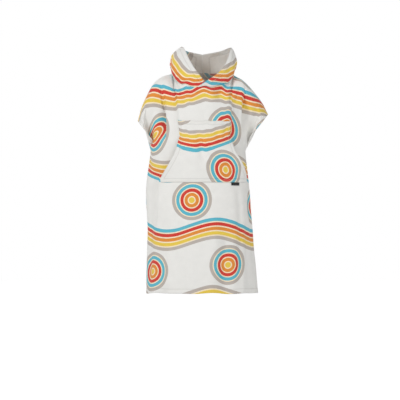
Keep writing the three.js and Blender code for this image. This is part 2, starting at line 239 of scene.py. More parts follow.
@dataclass(frozen=True)
class GarmentForm:
    """The worn form that front, back, pocket and label share, from the same sizes as the solids."""

    side_u: float = 350
    cuff_u: float = 430
    neck_u: float = 140
    arm_v: float = 655
    neck_v: float = 1020
    cuff_v: float = 925
    hem_z: float = -1007
    arm_z: float = -355
    shoulder_from: float = 110
    shoulder_to: float = 190
    sleeve_from: float = 310
    sleeve_to: float = 425
    sweep_from: float = 150
    sweep_low: float = -420
    sweep_high: float = -260

    # Each panel's neck: how far it is cut down, how far it stands from the shoulder line, how high its
    # middle is and how large its small waves are.
    NECK_DROP = {Panel.FRONT: 75, Panel.BACK: 18}
    NECK_DEPTH = {Panel.FRONT: 112, Panel.BACK: 88}
    NECK_Z = {Panel.FRONT: -70, Panel.BACK: 12}
    NECK_WAVE = {Panel.FRONT: 3.2, Panel.BACK: 1.6}
    # The sleeve on each side of the X axis: how fast it bends back, and where its cuff's low end is.
    SWEEP = {-1: 0.0008, 1: 0.0018}
    CUFF_LOW = {-1: (-224, -312), 1: (216, -296)}
    # The body's section at rising heights: its middle, its half width, its depths to the front and the
    # back, its turn in degrees, and how square its corners are.
    BODY = {
        "z": (-1007, -902, -810, -708, -566, -497, -419, -355),
        "middle": (-1, -5, -8, -11, -20, -22, -21, -20),
        "half": (257, 252, 246, 241, 239, 235, 226, 218),
        "front": (170, 166, 162, 158, 154, 152, 149, 146),
        "back": (164, 158, 152, 146, 138, 135, 134, 134),
        "turn": (3, 5, 7, 9, 11, 12, 10, 8),
        "square": (0.05, 0.08, 0.1, 0.15, 0.24, 0.28, 0.26, 0.22),
    }
    # The seam over the shoulder on each side of the X axis, from the neck to the cuff.
    SHOULDER = {
        -1: {
            "u": (140, 196, 240, 295, 360, 430),
            "x": (-137, -191, -225, -252, -279, -297),
            "z": (5, -16, -45, -92, -150, -216),
        },
        1: {
            "u": (140, 190, 240, 300, 360, 430),
            "x": (140, 184, 220, 255, 283, 303),
            "z": (-2, -28, -62, -103, -142, -184),
        },
    }
    # How far the cloth above the underarm stands out between its lower and its top edge.
    BULGE = {
        "u": (0, 70, 140, 200, 270, 350, 430),
        "front": (12, 26, 56, 62, 60, 66, 88),
        "back": (24, 34, 54, 58, 58, 66, 86),
    }
    FOLDS = {
        Panel.FRONT: (
            Fold(-204, -184, -330, -215, -62, 34, 8, 74),
            Fold(224, 194, -330, -200, -62, 34, 8, 74),
            Fold(-256, -234, -720, -530, -400, 24, 7, 80),
            Fold(-132, -126, -330, -76, 10, 7, 14, 40),
            Fold(-96, -92, -1240, -1000, -600, 9, 46, 60),
            Fold(92, 84, -1240, -1000, -640, 10, 60, 60),
            Fold(-206, -214, -1240, -980, -700, 11, 44, 60),
            Fold(232, 236, -1240, -900, -500, 12, 50, 70),
            Fold(60, 40, -190, -92, -30, 6, 30, 40),
            Fold(-30, -46, -190, -96, -30, 5, 34, 36),
        ),
        Panel.BACK: (
            Fold(-208, -190, -380, -220, -60, 22, 30, 70),
            Fold(208, 190, -380, -220, -60, 22, 30, 70),
            Fold(-60, -40, -1300, -900, -260, 15, 54, 64),
            Fold(78, 50, -1300, -860, -300, 13, 54, 64),
            Fold(-196, -150, -1300, -900, -400, 16, 50, 60),
            Fold(204, 160, -1300, -940, -380, 15, 50, 60),
        ),
    }

    def tube(self, panel: Panel, u: Array, z: Array) -> Array:
        """Give the section of the body below the arms.

        Args:
            panel: Front or back.
            u: Places across the cut.
            z: Heights.

        Returns:
            Points, with a last axis of three.
        """
        sign = panel.value
        half = read(self.BODY, "z", "half", z)
        depth = read(self.BODY, "z", "front" if panel is Panel.FRONT else "back", z)
        s = u / self.side_u
        even = (half - depth) / (2 * (half + depth))
        turn = np.radians(read(self.BODY, "z", "turn", z)) * (1 - s * s) * -sign
        angle = math.pi / 2 * s - even * np.sin(math.pi * s) + turn
        square = np.where(angle > 0, read(self.BODY, "z", "square", z) * np.cos(angle) ** 2, 0.0)
        x = read(self.BODY, "z", "middle", z) + half * np.sin(angle) * (1 + square)
        return np.stack(np.broadcast_arrays(x, sign * depth * np.cos(angle), z), axis=-1)

    def neckline(self, panel: Panel, t: Array) -> Array:
        """Give the neckline, t from -1 at one shoulder to 1 at the other.

        Args:
            panel: Front or back.
            t: Places along the neckline.

        Returns:
            Points, with a last axis of three.
        """
        right, left = self.SHOULDER[-1], self.SHOULDER[1]
        wide = np.where(t < 0, -right["x"][0], left["x"][0])
        end_z = np.where(t < 0, right["z"][0], left["z"][0])
        angle = math.pi / 2 * t
        z = mix(end_z, self.NECK_Z[panel], 1 - t * t)
        z = z + self.NECK_WAVE[panel] * (1 - t * t) * (np.sin(16 * t + 1.2) + 0.5 * np.sin(29 * t))
        y = panel.value * self.NECK_DEPTH[panel] * np.cos(angle)
        return np.stack((wide * np.sin(angle), y, z), axis=-1)

    def neck_out(self, panel: Panel, t: Array) -> Array:
        """Give the level direction away from the neck, square to the neckline.

        Args:
            panel: Front or back.
            t: Places along the neckline.

        Returns:
            Unit vectors, with a last axis of three.
        """
        run = self.neckline(panel, t + 0.002) - self.neckline(panel, t - 0.002)
        return unit(panel.value * np.stack((-run[..., 1], run[..., 0], np.zeros_like(t)), axis=-1))

    def top_v(self, panel: Panel, u: Array) -> Array:
        """Give the height of the cut's top edge.

        Args:
            panel: Front or back.
            u: Places across the cut.

        Returns:
            Heights on the cut.
        """
        across = np.abs(u)
        sleeve = mix(self.neck_v, self.cuff_v, (across - self.neck_u) / (self.cuff_u - self.neck_u))
        neck = self.neck_v - self.NECK_DROP[panel] * (1 - (u / self.neck_u) ** 2)
        return np.where(across >= self.neck_u, sleeve, neck)

    def top(self, panel: Panel, u: Array) -> Array:
        """Give the worn top edge: neckline, shoulder and the top of the sleeve.

        Args:
            panel: Front or back.
            u: Places across the cut.

        Returns:
            Points, with a last axis of three.
        """
        across = np.abs(u)
        neck = self.neckline(panel, np.clip(u / self.neck_u, -1, 1))
        right = [read(self.SHOULDER[-1], "u", c, across) for c in "xz"]
        left = [read(self.SHOULDER[1], "u", c, across) for c in "xz"]
        x, z = (np.where(u < 0, r, p) for r, p in zip(right, left))
        shoulder = np.stack((x, np.zeros_like(x), z), axis=-1)
        return np.where((across <= self.neck_u)[..., None], neck, shoulder)

    def arm_row(self, panel: Panel, u: Array) -> Array:
        """Give the row at the underarm's height, with the undersides of the sleeves.

        Args:
            panel: Front or back.
            u: Places across the cut.

        Returns:
            Points, with a last axis of three.
        """
        body = self.tube(panel, np.clip(u, -self.side_u, self.side_u), np.full_like(u, self.arm_z))
        low = np.array([self.CUFF_LOW[-1], self.CUFF_LOW[1]])[(u > 0).astype(int)]
        cuff = np.stack((low[..., 0], np.zeros_like(u), low[..., 1]), axis=-1)
        t = np.clip((np.abs(u) - self.side_u) / (self.cuff_u - self.side_u), 0, 1)
        return mix(body, cuff, t[..., None])

    def smooth(self, panel: Panel, u: Array, v: Array) -> Array:
        """Give the panel without its folds.

        Args:
            panel: Front or back.
            u: Places across the cut.
            v: Places up the cut.

        Returns:
            Points, with a last axis of three.
        """
        below = self.tube(panel, u, mix(self.hem_z, self.arm_z, np.minimum(v / self.arm_v, 1)))
        across = np.abs(u)
        r = np.clip((v - self.arm_v) / (self.top_v(panel, u) - self.arm_v), 0, 1)
        shoulder = ease((across - self.shoulder_from) / (self.shoulder_to - self.shoulder_from))
        sleeve = ease((across - self.sleeve_from) / (self.sleeve_to - self.sleeve_from))
        rise = np.sin(math.pi / 2 * r)
        reach = mix(mix(r, rise, shoulder), rise**2, sleeve)
        above = mix(self.arm_row(panel, u), self.top(panel, u), reach[..., None])
        bulge = read(self.BULGE, "u", "front" if panel is Panel.FRONT else "back", across)
        swell = mix(np.sin(math.pi * r**1.7), np.sin(math.pi * r), sleeve)
        above[..., 1] += panel.value * bulge * swell
        lower = (v <= self.arm_v) & (np.abs(u) <= self.side_u + TINY)
        return np.where(lower[..., None], below, above)

    def fold_depth(self, panel: Panel, u: Array, z: Array) -> Array:
        """Give how deep the large folds are at each place.

        Args:
            panel: Front or back.
            u: Places across the cut.
            z: Heights in the worn form.

        Returns:
            Depths in millimetres.
        """
        total = np.zeros_like(z)
        for fold in self.FOLDS[panel]:
            total += fold.sink(u, z)
        return total

    def outward(self, panel: Panel, u: Array, v: Array) -> Array:
        """Give the outward direction of the panel without its folds.

        Args:
            panel: Front or back.
            u: Places across the cut.
            v: Places up the cut.

        Returns:
            Unit vectors, lying in the seam's plane along the side and shoulder seams.
        """
        step = 1.5
        half = np.where(v < self.arm_v, self.side_u, self.cuff_u)
        at_u = np.clip(u, -half + 2, half - 2)
        at_v = np.clip(v, 2, self.top_v(panel, u) - 2)
        at_v = np.where(np.abs(at_u) > self.side_u, np.maximum(at_v, self.arm_v + 2), at_v)
        across = self.smooth(panel, at_u + step, at_v) - self.smooth(panel, at_u - step, at_v)
        up = self.smooth(panel, at_u, at_v + step) - self.smooth(panel, at_u, at_v - step)
        normal = np.cross(across, up) * -panel.value
        normal[..., 1] = np.where(self.on_seam(panel, u, v), 0.0, normal[..., 1])
        under = (np.abs(u) > self.side_u + TINY) & (v <= self.arm_v + TINY)
        return np.where(under[..., None], self.under_out(u), unit(normal))

    def under_out(self, u: Array) -> Array:
        """Give the direction square to the seam under each sleeve, away from the body.

        Args:
            u: Places across the cut, whose sign says which sleeve.

        Returns:
            Unit vectors that front and back share.
        """
        side = np.where(u < 0, -1.0, 1.0)
        run = self.arm_row(Panel.FRONT, side * self.cuff_u) - self.arm_row(Panel.FRONT, side * self.side_u)
        square = np.stack((run[..., 2], np.zeros_like(side), -run[..., 0]), axis=-1)
        return unit(square) * (side * np.sign(square[..., 0]))[..., None]

    def on_seam(self, panel: Panel, u: Array, v: Array) -> Array:
        """Say where front and back are sewn together: the sides, undersides and shoulders.

        Args:
            panel: Front or back.
            u: Places across the cut.
            v: Places up the cut.

        Returns:
            True where a place lies on a seam.
        """
        across = np.abs(u)
        side = (across >= self.side_u - TINY) & (v <= self.arm_v + TINY)
        over = (across >= self.neck_u - TINY) & (v >= self.top_v(panel, u) - TINY)
        return side | over

    def sweep(self, points: Array) -> Array:
        """Carry the sleeves a little to the back.

        Args:
            points: Points of the level form, with a last axis of three.

        Returns:
            The points in their place.
        """
        x, z = points[..., 0], points[..., 2]
        past = np.maximum(0, np.abs(x) - self.sweep_from)
        rate = np.where(x < 0, self.SWEEP[-1], self.SWEEP[1])
        share = ease((z - self.sweep_low) / (self.sweep_high - self.sweep_low))
        moved = points.copy()
        moved[..., 1] += rate * past * past * share
        return moved


FORM = GarmentForm()


def grid_normals(points: Array, sign: float) -> Array:
    """Give the directions square to a grid of points, on the side that sign says."""
    along_rows, along_columns = np.gradient(points, axis=0), np.gradient(points, axis=1)
    return unit(np.cross(along_columns, along_rows)) * sign


def along(points: Array, axis: int) -> Array:
    """Measure how far each grid point lies along the cloth from the grid's first row or column.

    Args:
        points: A grid of points.
        axis: 0 to measure up the columns, 1 to measure across the rows.

    Returns:
        The distances, starting at 0.
    """
    lengths = np.cumsum(np.linalg.norm(np.diff(points, axis=axis), axis=-1), axis=axis)
    return np.insert(lengths, 0, 0.0, axis=axis)


@dataclass
class ClothGrid:
    """A grid of cloth.

    It holds the outer points, the directions out, the places on the cut, the distance to the edges, which
    cells are cloth, and how round the rim is at each point.
    """

    points: Array
    out: Array
    cut: Array
    edge: Array
    filled: Array
    round_edge: Array
    thickness: float = CLOTH

    def mesh(self, name: str) -> bpy.types.Mesh:
        """Build the closed wall: outer face, inner face and a rounded rim at turned edges.

        Args:
            name: The mesh's name.

        Returns:
            A mesh in metres with the cut as UV map and the distance to the edge as an attribute.
            Outer face and rim have material 0, the inside has material 1.
        """
        rows, columns = self.points.shape[:2]
        index = np.arange(rows * columns).reshape(rows, columns)
        count = rows * columns
        outer = FORM.sweep(self.points).reshape(-1, 3)
        inner = FORM.sweep(self.points - self.out * self.thickness).reshape(-1, 3)
        rim_out = np.zeros((count, 3))
        quads: list[tuple[int, int, int, int]] = []
        kinds: list[int] = []
        corner_ids: list[tuple[int, int, int, int]] = []

        def add(a: int, b: int, c: int, d: int, kind: int) -> None:
            """Add a quad and remember which grid corners it stands for.

            Args:
                a: The first corner's number.
                b: The second corner's number.
                c: The third corner's number.
                d: The fourth corner's number.
                kind: The number of its material.
            """
            quads.append((a, b, c, d))
            kinds.append(kind)
            corner_ids.append((a % count, b % count, c % count, d % count))

        filled = np.pad(self.filled, 1)
        for i in range(rows - 1):
            for j in range(columns - 1):
                if not self.filled[i, j]:
                    continue
                a, b, c, d = (int(index[p]) for p in ((i, j), (i, j + 1), (i + 1, j + 1), (i + 1, j)))
                add(a, b, c, d, 0)
                add(d + count, c + count, b + count, a + count, 1)
                middle = outer[[a, b, c, d]].mean(axis=0)
                sides = ((0, 1, b, a), (2, 1, d, c), (1, 0, a, d), (1, 2, c, b))
                for di, dj, p, q in sides:
                    if filled[i + di, j + dj]:
                        continue
                    away = (outer[p] + outer[q]) / 2 - middle
                    away = away / max(np.linalg.norm(away), 1e-9)
                    rim_out[p] += away
                    rim_out[q] += away
                    add(p, q, q + 2 * count, p + 2 * count, 0)
                    add(p + 2 * count, q + 2 * count, q + count, p + count, 0)
        push = unit(rim_out) * self.round_edge.reshape(-1, 1) * self.thickness * 0.5
        middle_ring = (outer + inner) / 2 + push
        vertices = np.concatenate((outer, inner, middle_ring)) * MM
        used, packed = np.unique(np.array(quads), return_inverse=True)
        faces = packed.reshape(-1, 4)
        centre = vertices[faces]
        volume = np.einsum("ij,ij->", centre[:, 0], np.cross(centre[:, 1], centre[:, 2]))
        volume += np.einsum("ij,ij->", centre[:, 0], np.cross(centre[:, 2], centre[:, 3]))
        corners = np.array(corner_ids)
        if volume < 0:
            faces, corners = faces[:, ::-1], corners[:, ::-1]
        mesh = bpy.data.meshes.new(name)
        mesh.from_pydata(vertices[used].tolist(), [], faces.tolist())
        layer = mesh.uv_layers.new(name=CUT_MAP)
        places = self.cut.reshape(-1, 2)[corners.reshape(-1)] * MM
        layer.data.foreach_set("uv", places.astype(np.float32).ravel())
        edge = mesh.attributes.new(EDGE_NEAR, "FLOAT", "POINT")
        edge.data.foreach_set("value", (self.edge.reshape(-1)[used % count] * MM).astype(np.float32))
        mesh.polygons.foreach_set("material_index", np.array(kinds, dtype=np.int32))
        mesh.polygons.foreach_set("use_smooth", np.ones(len(quads), dtype=bool))
        mesh.update()
        return mesh

    def flat_area(self) -> float:
        """Give the area of the filled cut in square metres.

        Returns:
            The area.
        """
        a, b, c, d = self.cut[:-1, :-1], self.cut[:-1, 1:], self.cut[1:, 1:], self.cut[1:, :-1]
        one, two = c - a, d - b
        cells = np.abs(one[..., 0] * two[..., 1] - one[..., 1] * two[..., 0]) / 2
        return float(cells[self.filled].sum()) * MM * MM

    def worn_area(self) -> float:
        """Give the area of the outer face as it is worn, in square metres.

        Returns:
            The area.
        """
        a, b, c, d = self.points[:-1, :-1], self.points[:-1, 1:], self.points[1:, 1:], self.points[1:, :-1]
        cells = np.linalg.norm(np.cross(c - a, d - b), axis=-1) / 2
        return float(cells[self.filled].sum()) * MM * MM


def place_object(name: str, mesh: bpy.types.Mesh, *materials: bpy.types.Material) -> bpy.types.Object:
    """Put a mesh into the scene with its materials.

    Args:
        name: The object's name.
        mesh: The finished mesh.
        materials: Its materials in order.

    Returns:
        The object, at the origin.
    """
    piece = bpy.data.objects.new(name, mesh)
    bpy.context.scene.collection.objects.link(piece)
    for material in materials:
        mesh.materials.append(material)
    return piece


class NodeSketch:
    """A short way to write a node tree, mostly with calls that add a node and give its output socket."""

    def __init__(self, tree: bpy.types.NodeTree) -> None:
        """Keep the tree that nodes are added to."""
        self.tree = tree

    def node(self, kind: str, **settings: object) -> bpy.types.Node:
        """Add a node and set its plain settings.

        Args:
            kind: The node's type.
            settings: Properties by name.

        Returns:
            The new node.
        """
        made = self.tree.nodes.new(kind)
        for key, value in settings.items():
            setattr(made, key, value)
        return made

    def feed(self, socket: bpy.types.NodeSocket, value: object) -> None:
        """Link a socket into an input, or set the input's own value.

        Args:
            socket: The input.
            value: An output socket or a plain value.
        """
        if isinstance(value, bpy.types.NodeSocket):
            self.tree.links.new(value, socket)
        else:
            socket.default_value = value

    def calc(self, operation: str, *values: object, clamp: bool = False) -> bpy.types.NodeSocket:
        """Work out numbers with a Math node.

        Args:
            operation: The sum to do.
            values: Its numbers or sockets in order.
            clamp: Whether to keep the result between 0 and 1.

        Returns:
            The result's socket.
        """
        made = self.node("ShaderNodeMath", operation=operation, use_clamp=clamp)
        for socket, value in zip(made.inputs, values):
            self.feed(socket, value)
        return made.outputs[0]

    def noise(self, vector: object, scale: object, detail: float = 2.0) -> bpy.types.NodeSocket:
        """Give a noise value around 0.5.

        Args:
            vector: Where to read the noise.
            scale: How fine it is.
            detail: How many finer layers it has.

        Returns:
            The noise's socket.
        """
        made = self.node("ShaderNodeTexNoise")
        self.feed(made.inputs["Vector"], vector)
        self.feed(made.inputs["Scale"], scale)
        self.feed(made.inputs["Detail"], detail)
        return made.outputs["Fac"]

    def blend(self, share: object, one: object, two: object, how: str = "MIX") -> bpy.types.NodeSocket:
        """Mix two colours.

        Args:
            share: How much of the second colour.
            one: The first colour.
            two: The second colour.
            how: The way of mixing.

        Returns:
            The mixed colour's socket.
        """
        made = self.node("ShaderNodeMix", data_type="RGBA", blend_type=how)
        self.feed(made.inputs[0], share)
        self.feed(made.inputs[6], one)
        self.feed(made.inputs[7], two)
        return made.outputs[2]

    def ramp(self, share: object, stops: Stops, how: str) -> bpy.types.NodeSocket:
        """Read a colour from named stops.

        Args:
            share: The place on the ramp.
            stops: Place and colour of each stop, rising.
            how: The ramp's interpolation.

        Returns:
            The colour socket.
        """
        made = self.node("ShaderNodeValToRGB")
        made.color_ramp.interpolation = how
        elements = made.color_ramp.elements
        while len(elements) < len(stops):
            elements.new(1.0)
        for element, (place, colour) in zip(elements, stops):
            element.position = place
            element.color = (*colour[:3], 1.0)
        self.feed(made.inputs[0], share)
        return made.outputs[0]


def shader_group(
    name: str, inputs: dict[str, tuple[str, object]], outputs: dict[str, str]
) -> tuple[bpy.types.NodeTree, NodeSketch, bpy.types.Node, bpy.types.Node]:
    """Start a shader node group.

    Args:
        name: The group's name.
        inputs: Name to socket type and default value.
        outputs: Name to socket type.

    Returns:
        The tree, its sketch, the inside input node and the inside output node.
    """
    tree = bpy.data.node_groups.new(name, "ShaderNodeTree")
    for key, (kind, default) in inputs.items():
        socket = tree.interface.new_socket(name=key, in_out="INPUT", socket_type=kind)
        if default is not None:
            socket.default_value = default
    for key, kind in outputs.items():
        tree.interface.new_socket(name=key, in_out="OUTPUT", socket_type=kind)
    sketch = NodeSketch(tree)
    return tree, sketch, sketch.node("NodeGroupInput"), sketch.node("NodeGroupOutput")


def srgb(red: int, green: int, blue: int) -> tuple[float, float, float]:
    """Turn an everyday colour from 0 to 255 into the linear values that shaders use.

    Args:
        red: Red from 0 to 255.
        green: Green from 0 to 255.
        blue: Blue from 0 to 255.

    Returns:
        The three linear values.
    """
    def linear(value: int) -> float:
        """Undo the display curve of one channel."""
        share = value / 255
        return share / 12.92 if share <= 0.04045 else ((share + 0.055) / 1.055) ** 2.4

    return linear(red), linear(green), linear(blue)


class Ink(Enum):
    """The print's colours on the cloth."""

    GROUND = srgb(240, 239, 235)
    CREAM = srgb(252, 236, 204)
    BLUE = srgb(96, 188, 208)
    RED = srgb(216, 66, 56)
    ORANGE = srgb(232, 146, 62)
    YELLOW = srgb(238, 206, 84)
    TAUPE = srgb(192, 182, 174)


@dataclass(frozen=True)
class RibbonPrint:
    """A plain retro print: wavy ribbons of five stripes with rows of rings between them, in millimetres."""

    row: float = 312
    stripe: float = 15.5
    gap: float = 5.5
    wave_high: float = 27
    wave_long: float = 470
    ring_apart: float = 372
    ring_radius: float = 91
    inner_ring: float = 0.9
    fuzz: float = 1.6
    fuzz_fine: float = 900.0
    stripes: tuple[Ink, ...] = (Ink.BLUE, Ink.RED, Ink.ORANGE, Ink.YELLOW, Ink.TAUPE)
    rings: tuple[Ink, ...] = (Ink.YELLOW, Ink.ORANGE, Ink.RED, Ink.BLUE, Ink.TAUPE)

    @property
    def ribbon(self) -> float:
        """Give the whole height of a ribbon."""
        return len(self.stripes) * (self.stripe + self.gap) - self.gap

    def band_stops(self, inks: Sequence[Ink], first: float) -> Stops:
        """Place stripes and cream gaps on a ramp from 0 to 1.

        Args:
            inks: The stripes' colours in order.
            first: How much longer the first stripe is than the rest, as a factor.

        Returns:
            Stops for a ramp of constant colours.
        """
        pitch = self.stripe + self.gap
        whole = len(inks) * pitch - self.gap + (first - 1) * self.stripe
        stops, at = [], 0.0
        for number, ink in enumerate(inks):
            wide = self.stripe * (first if number == 0 else 1)
            stops.append((at / whole, ink.value))
            stops.append(((at + wide) / whole, Ink.CREAM.value))
            at += wide + self.gap
        return stops[:-1]

    def group(self) -> bpy.types.NodeTree:
        """Build the node group that draws the print on the flat cut.

        Returns:
            A group from the cut's place in metres to the print's colour.
        """
        tree, s, inside, outside = shader_group(
            "ribbon_print",
            {"Cut": ("NodeSocketVector", None), "Shift": ("NodeSocketFloat", 0.0)},
            {"Color": "NodeSocketColor"},
        )
        cut = inside.outputs["Cut"]
        parts = s.node("ShaderNodeSeparateXYZ")
        s.feed(parts.inputs[0], cut)
        fuzz = s.calc("MULTIPLY", s.calc("SUBTRACT", s.noise(cut, self.fuzz_fine), 0.5), self.fuzz * MM)
        u = s.calc("ADD", parts.outputs[0], fuzz)
        v = s.calc("ADD", s.calc("ADD", parts.outputs[1], inside.outputs["Shift"]), fuzz)
        row_high = self.row * MM
        ribbon = self.ribbon * MM
        turn = math.tau / (self.wave_long * MM)
        wave = s.calc("MULTIPLY", s.calc("SINE", s.calc("MULTIPLY", u, turn)), self.wave_high * MM)
        flat = s.calc("DIVIDE", s.calc("SUBTRACT", v, wave), row_high)
        row = s.calc("FLOOR", flat)
        local = s.calc("MULTIPLY", s.calc("SUBTRACT", flat, row), row_high)
        odd = s.calc("FLOORED_MODULO", row, 2.0)
        share = s.calc("DIVIDE", local, ribbon)
        turned = s.calc("ABSOLUTE", s.calc("SUBTRACT", odd, share))
        ribbon_ink = s.calc("LESS_THAN", local, ribbon)
        ribbon_colour = s.ramp(turned, self.band_stops(self.stripes, 1.0), "CONSTANT")
        apart = self.ring_apart * MM
        shifted = s.calc("ADD", s.calc("DIVIDE", u, apart), s.calc("MULTIPLY", odd, 0.5))
        cell = s.calc("FLOOR", shifted)
        turn_back = s.calc("MULTIPLY", odd, 0.5)
        middle_u = s.calc("MULTIPLY", s.calc("SUBTRACT", s.calc("ADD", cell, 0.5), turn_back), apart)
        lift = s.calc("MULTIPLY", s.calc("SINE", s.calc("MULTIPLY", middle_u, turn)), self.wave_high * MM)
        base = s.calc("ADD", s.calc("MULTIPLY", row, row_high), (row_high + ribbon) / 2)
        middle_v = s.calc("ADD", base, lift)
        across = s.calc("SUBTRACT", u, middle_u)
        up = s.calc("SUBTRACT", v, middle_v)
        away = s.calc("SQRT", s.calc("ADD", s.calc("MULTIPLY", across, across), s.calc("MULTIPLY", up, up)))
        radius = self.ring_radius * MM
        ring_ink = s.calc("LESS_THAN", away, radius)
        ring_stops = self.band_stops(self.rings, self.inner_ring)
        ring_colour = s.ramp(s.calc("DIVIDE", away, radius), ring_stops, "CONSTANT")
        ground = (*Ink.GROUND.value, 1.0)
        colour = s.blend(ring_ink, ground, ring_colour)
        colour = s.blend(ribbon_ink, colour, ribbon_colour)
        s.feed(outside.inputs["Color"], colour)
        return tree


@dataclass(frozen=True)
class TowellingNapAndShade:
    """The short soft pile and the slow unevenness of towelling, with painted shade in the gaps between its
    loops.
    """

    loop_size: float = 1.5
    loop_depth: float = 0.55
    pile_height: float = 0.45
    pile_shade: float = 0.1
    brushed_fine: float = 28.0
    brushed_height: float = 0.9
    brushed_shade: float = 0.08
    slack_fine: float = 9.0
    slack_height: float = 4.0
    even_shade: float = 0.91
    # Painted shade: how much darker the gaps between the loops are.
    painted_loop_gap_shade: float = 0.06

    def group(self) -> bpy.types.NodeTree:
        """Build the node group.

        Returns:
            A group from the cut's place to a height in millimetres and a shade around 1: the pile's uneven
            tone, with painted shade where the loops meet.
        """
        tree, s, inside, outside = shader_group(
            "towelling_nap_and_shade",
            {"Cut": ("NodeSocketVector", None), "Loop Size": ("NodeSocketFloat", self.loop_size * MM)},
            {"Height": "NodeSocketFloat", "Shade": "NodeSocketFloat"},
        )
        cut = inside.outputs["Cut"]
        fine = s.calc("DIVIDE", 1.0, inside.outputs["Loop Size"])
        loops = s.node("ShaderNodeTexVoronoi", feature="SMOOTH_F1")
        s.feed(loops.inputs["Vector"], cut)
        s.feed(loops.inputs["Scale"], fine)
        tuft = s.calc("MULTIPLY", loops.outputs["Distance"], -self.loop_depth)
        pile = s.noise(cut, s.calc("MULTIPLY", fine, 0.5), 3.0)
        brushed = s.noise(cut, self.brushed_fine, 3.0)
        slack = s.noise(cut, self.slack_fine, 1.0)
        height = s.calc("ADD", tuft, s.calc("MULTIPLY", pile, self.pile_height))
        height = s.calc("ADD", height, s.calc("MULTIPLY", brushed, self.brushed_height))
        height = s.calc("ADD", height, s.calc("MULTIPLY", slack, self.slack_height))
        shade = s.calc("MULTIPLY", pile, self.pile_shade)
        shade = s.calc("ADD", shade, s.calc("MULTIPLY", brushed, self.brushed_shade))
        shade = s.calc("ADD", shade, self.even_shade)
        # Painted shade: darker in the gaps between the loops, where the pile lies lowest.
        shade = s.calc("ADD", shade, s.calc("MULTIPLY", tuft, self.painted_loop_gap_shade))
        s.feed(outside.inputs["Height"], height)
        s.feed(outside.inputs["Shade"], shade)
        return tree


@dataclass(frozen=True)
class SeamPuckerAndShade:
    """The small puckers where cloth is sewn near an edge, and the painted shade in the stitch groove and
    along the edge, with widths in millimetres.
    """

    groove_wide: float = 1.6
    groove_depth: float = 0.5
    # Painted shade: how much darker the stitch groove is drawn.
    painted_groove_shade: float = 0.14
    pucker_wide: float = 12
    pucker_fine: float = 120.0
    pucker_height: float = 2.6
    edge_wide: float = 2.2
    # Painted shade: how much darker the cloth is drawn along the edge.
    painted_edge_shade: float = 0.1

    def group(self) -> bpy.types.NodeTree:
        """Build the node group.

        Returns:
            A group from the cut's place and the distance to the edge to a height and a painted shade, darker
            in the stitch groove and along the edge.
        """
        tree, s, inside, outside = shader_group(
            "seam_pucker_and_shade",
            {
                "Cut": ("NodeSocketVector", None),
                "Edge Near": ("NodeSocketFloat", 1.0),
                "Stitch Line": ("NodeSocketFloat", 0.02),
            },
            {"Height": "NodeSocketFloat", "Shade": "NodeSocketFloat"},
        )
        cut, near = inside.outputs["Cut"], inside.outputs["Edge Near"]
        from_line = s.calc("SUBTRACT", near, inside.outputs["Stitch Line"])
        off_line = s.calc("DIVIDE", from_line, self.groove_wide * MM)
        groove = s.calc("EXPONENT", s.calc("MULTIPLY", s.calc("MULTIPLY", off_line, off_line), -1.0))
        wide = s.calc("DIVIDE", from_line, self.pucker_wide * MM)
        band = s.calc("EXPONENT", s.calc("MULTIPLY", s.calc("MULTIPLY", wide, wide), -1.0))
        tug = s.calc("SUBTRACT", s.noise(cut, self.pucker_fine, 2.0), 0.5)
        puckered = s.calc("MULTIPLY", s.calc("MULTIPLY", tug, band), self.pucker_height)
        height = s.calc("SUBTRACT", puckered, s.calc("MULTIPLY", groove, self.groove_depth))
        # Painted shade: darker in the stitch groove and within a few millimetres of every edge and seam.
        edge = s.calc("EXPONENT", s.calc("MULTIPLY", s.calc("DIVIDE", near, self.edge_wide * MM), -1.0))
        groove_painted_dim = s.calc("SUBTRACT", 1.0, s.calc("MULTIPLY", groove, self.painted_groove_shade))
        shade = s.calc("SUBTRACT", groove_painted_dim, s.calc("MULTIPLY", edge, self.painted_edge_shade))
        s.feed(outside.inputs["Height"], height)
        s.feed(outside.inputs["Shade"], shade)
        return tree


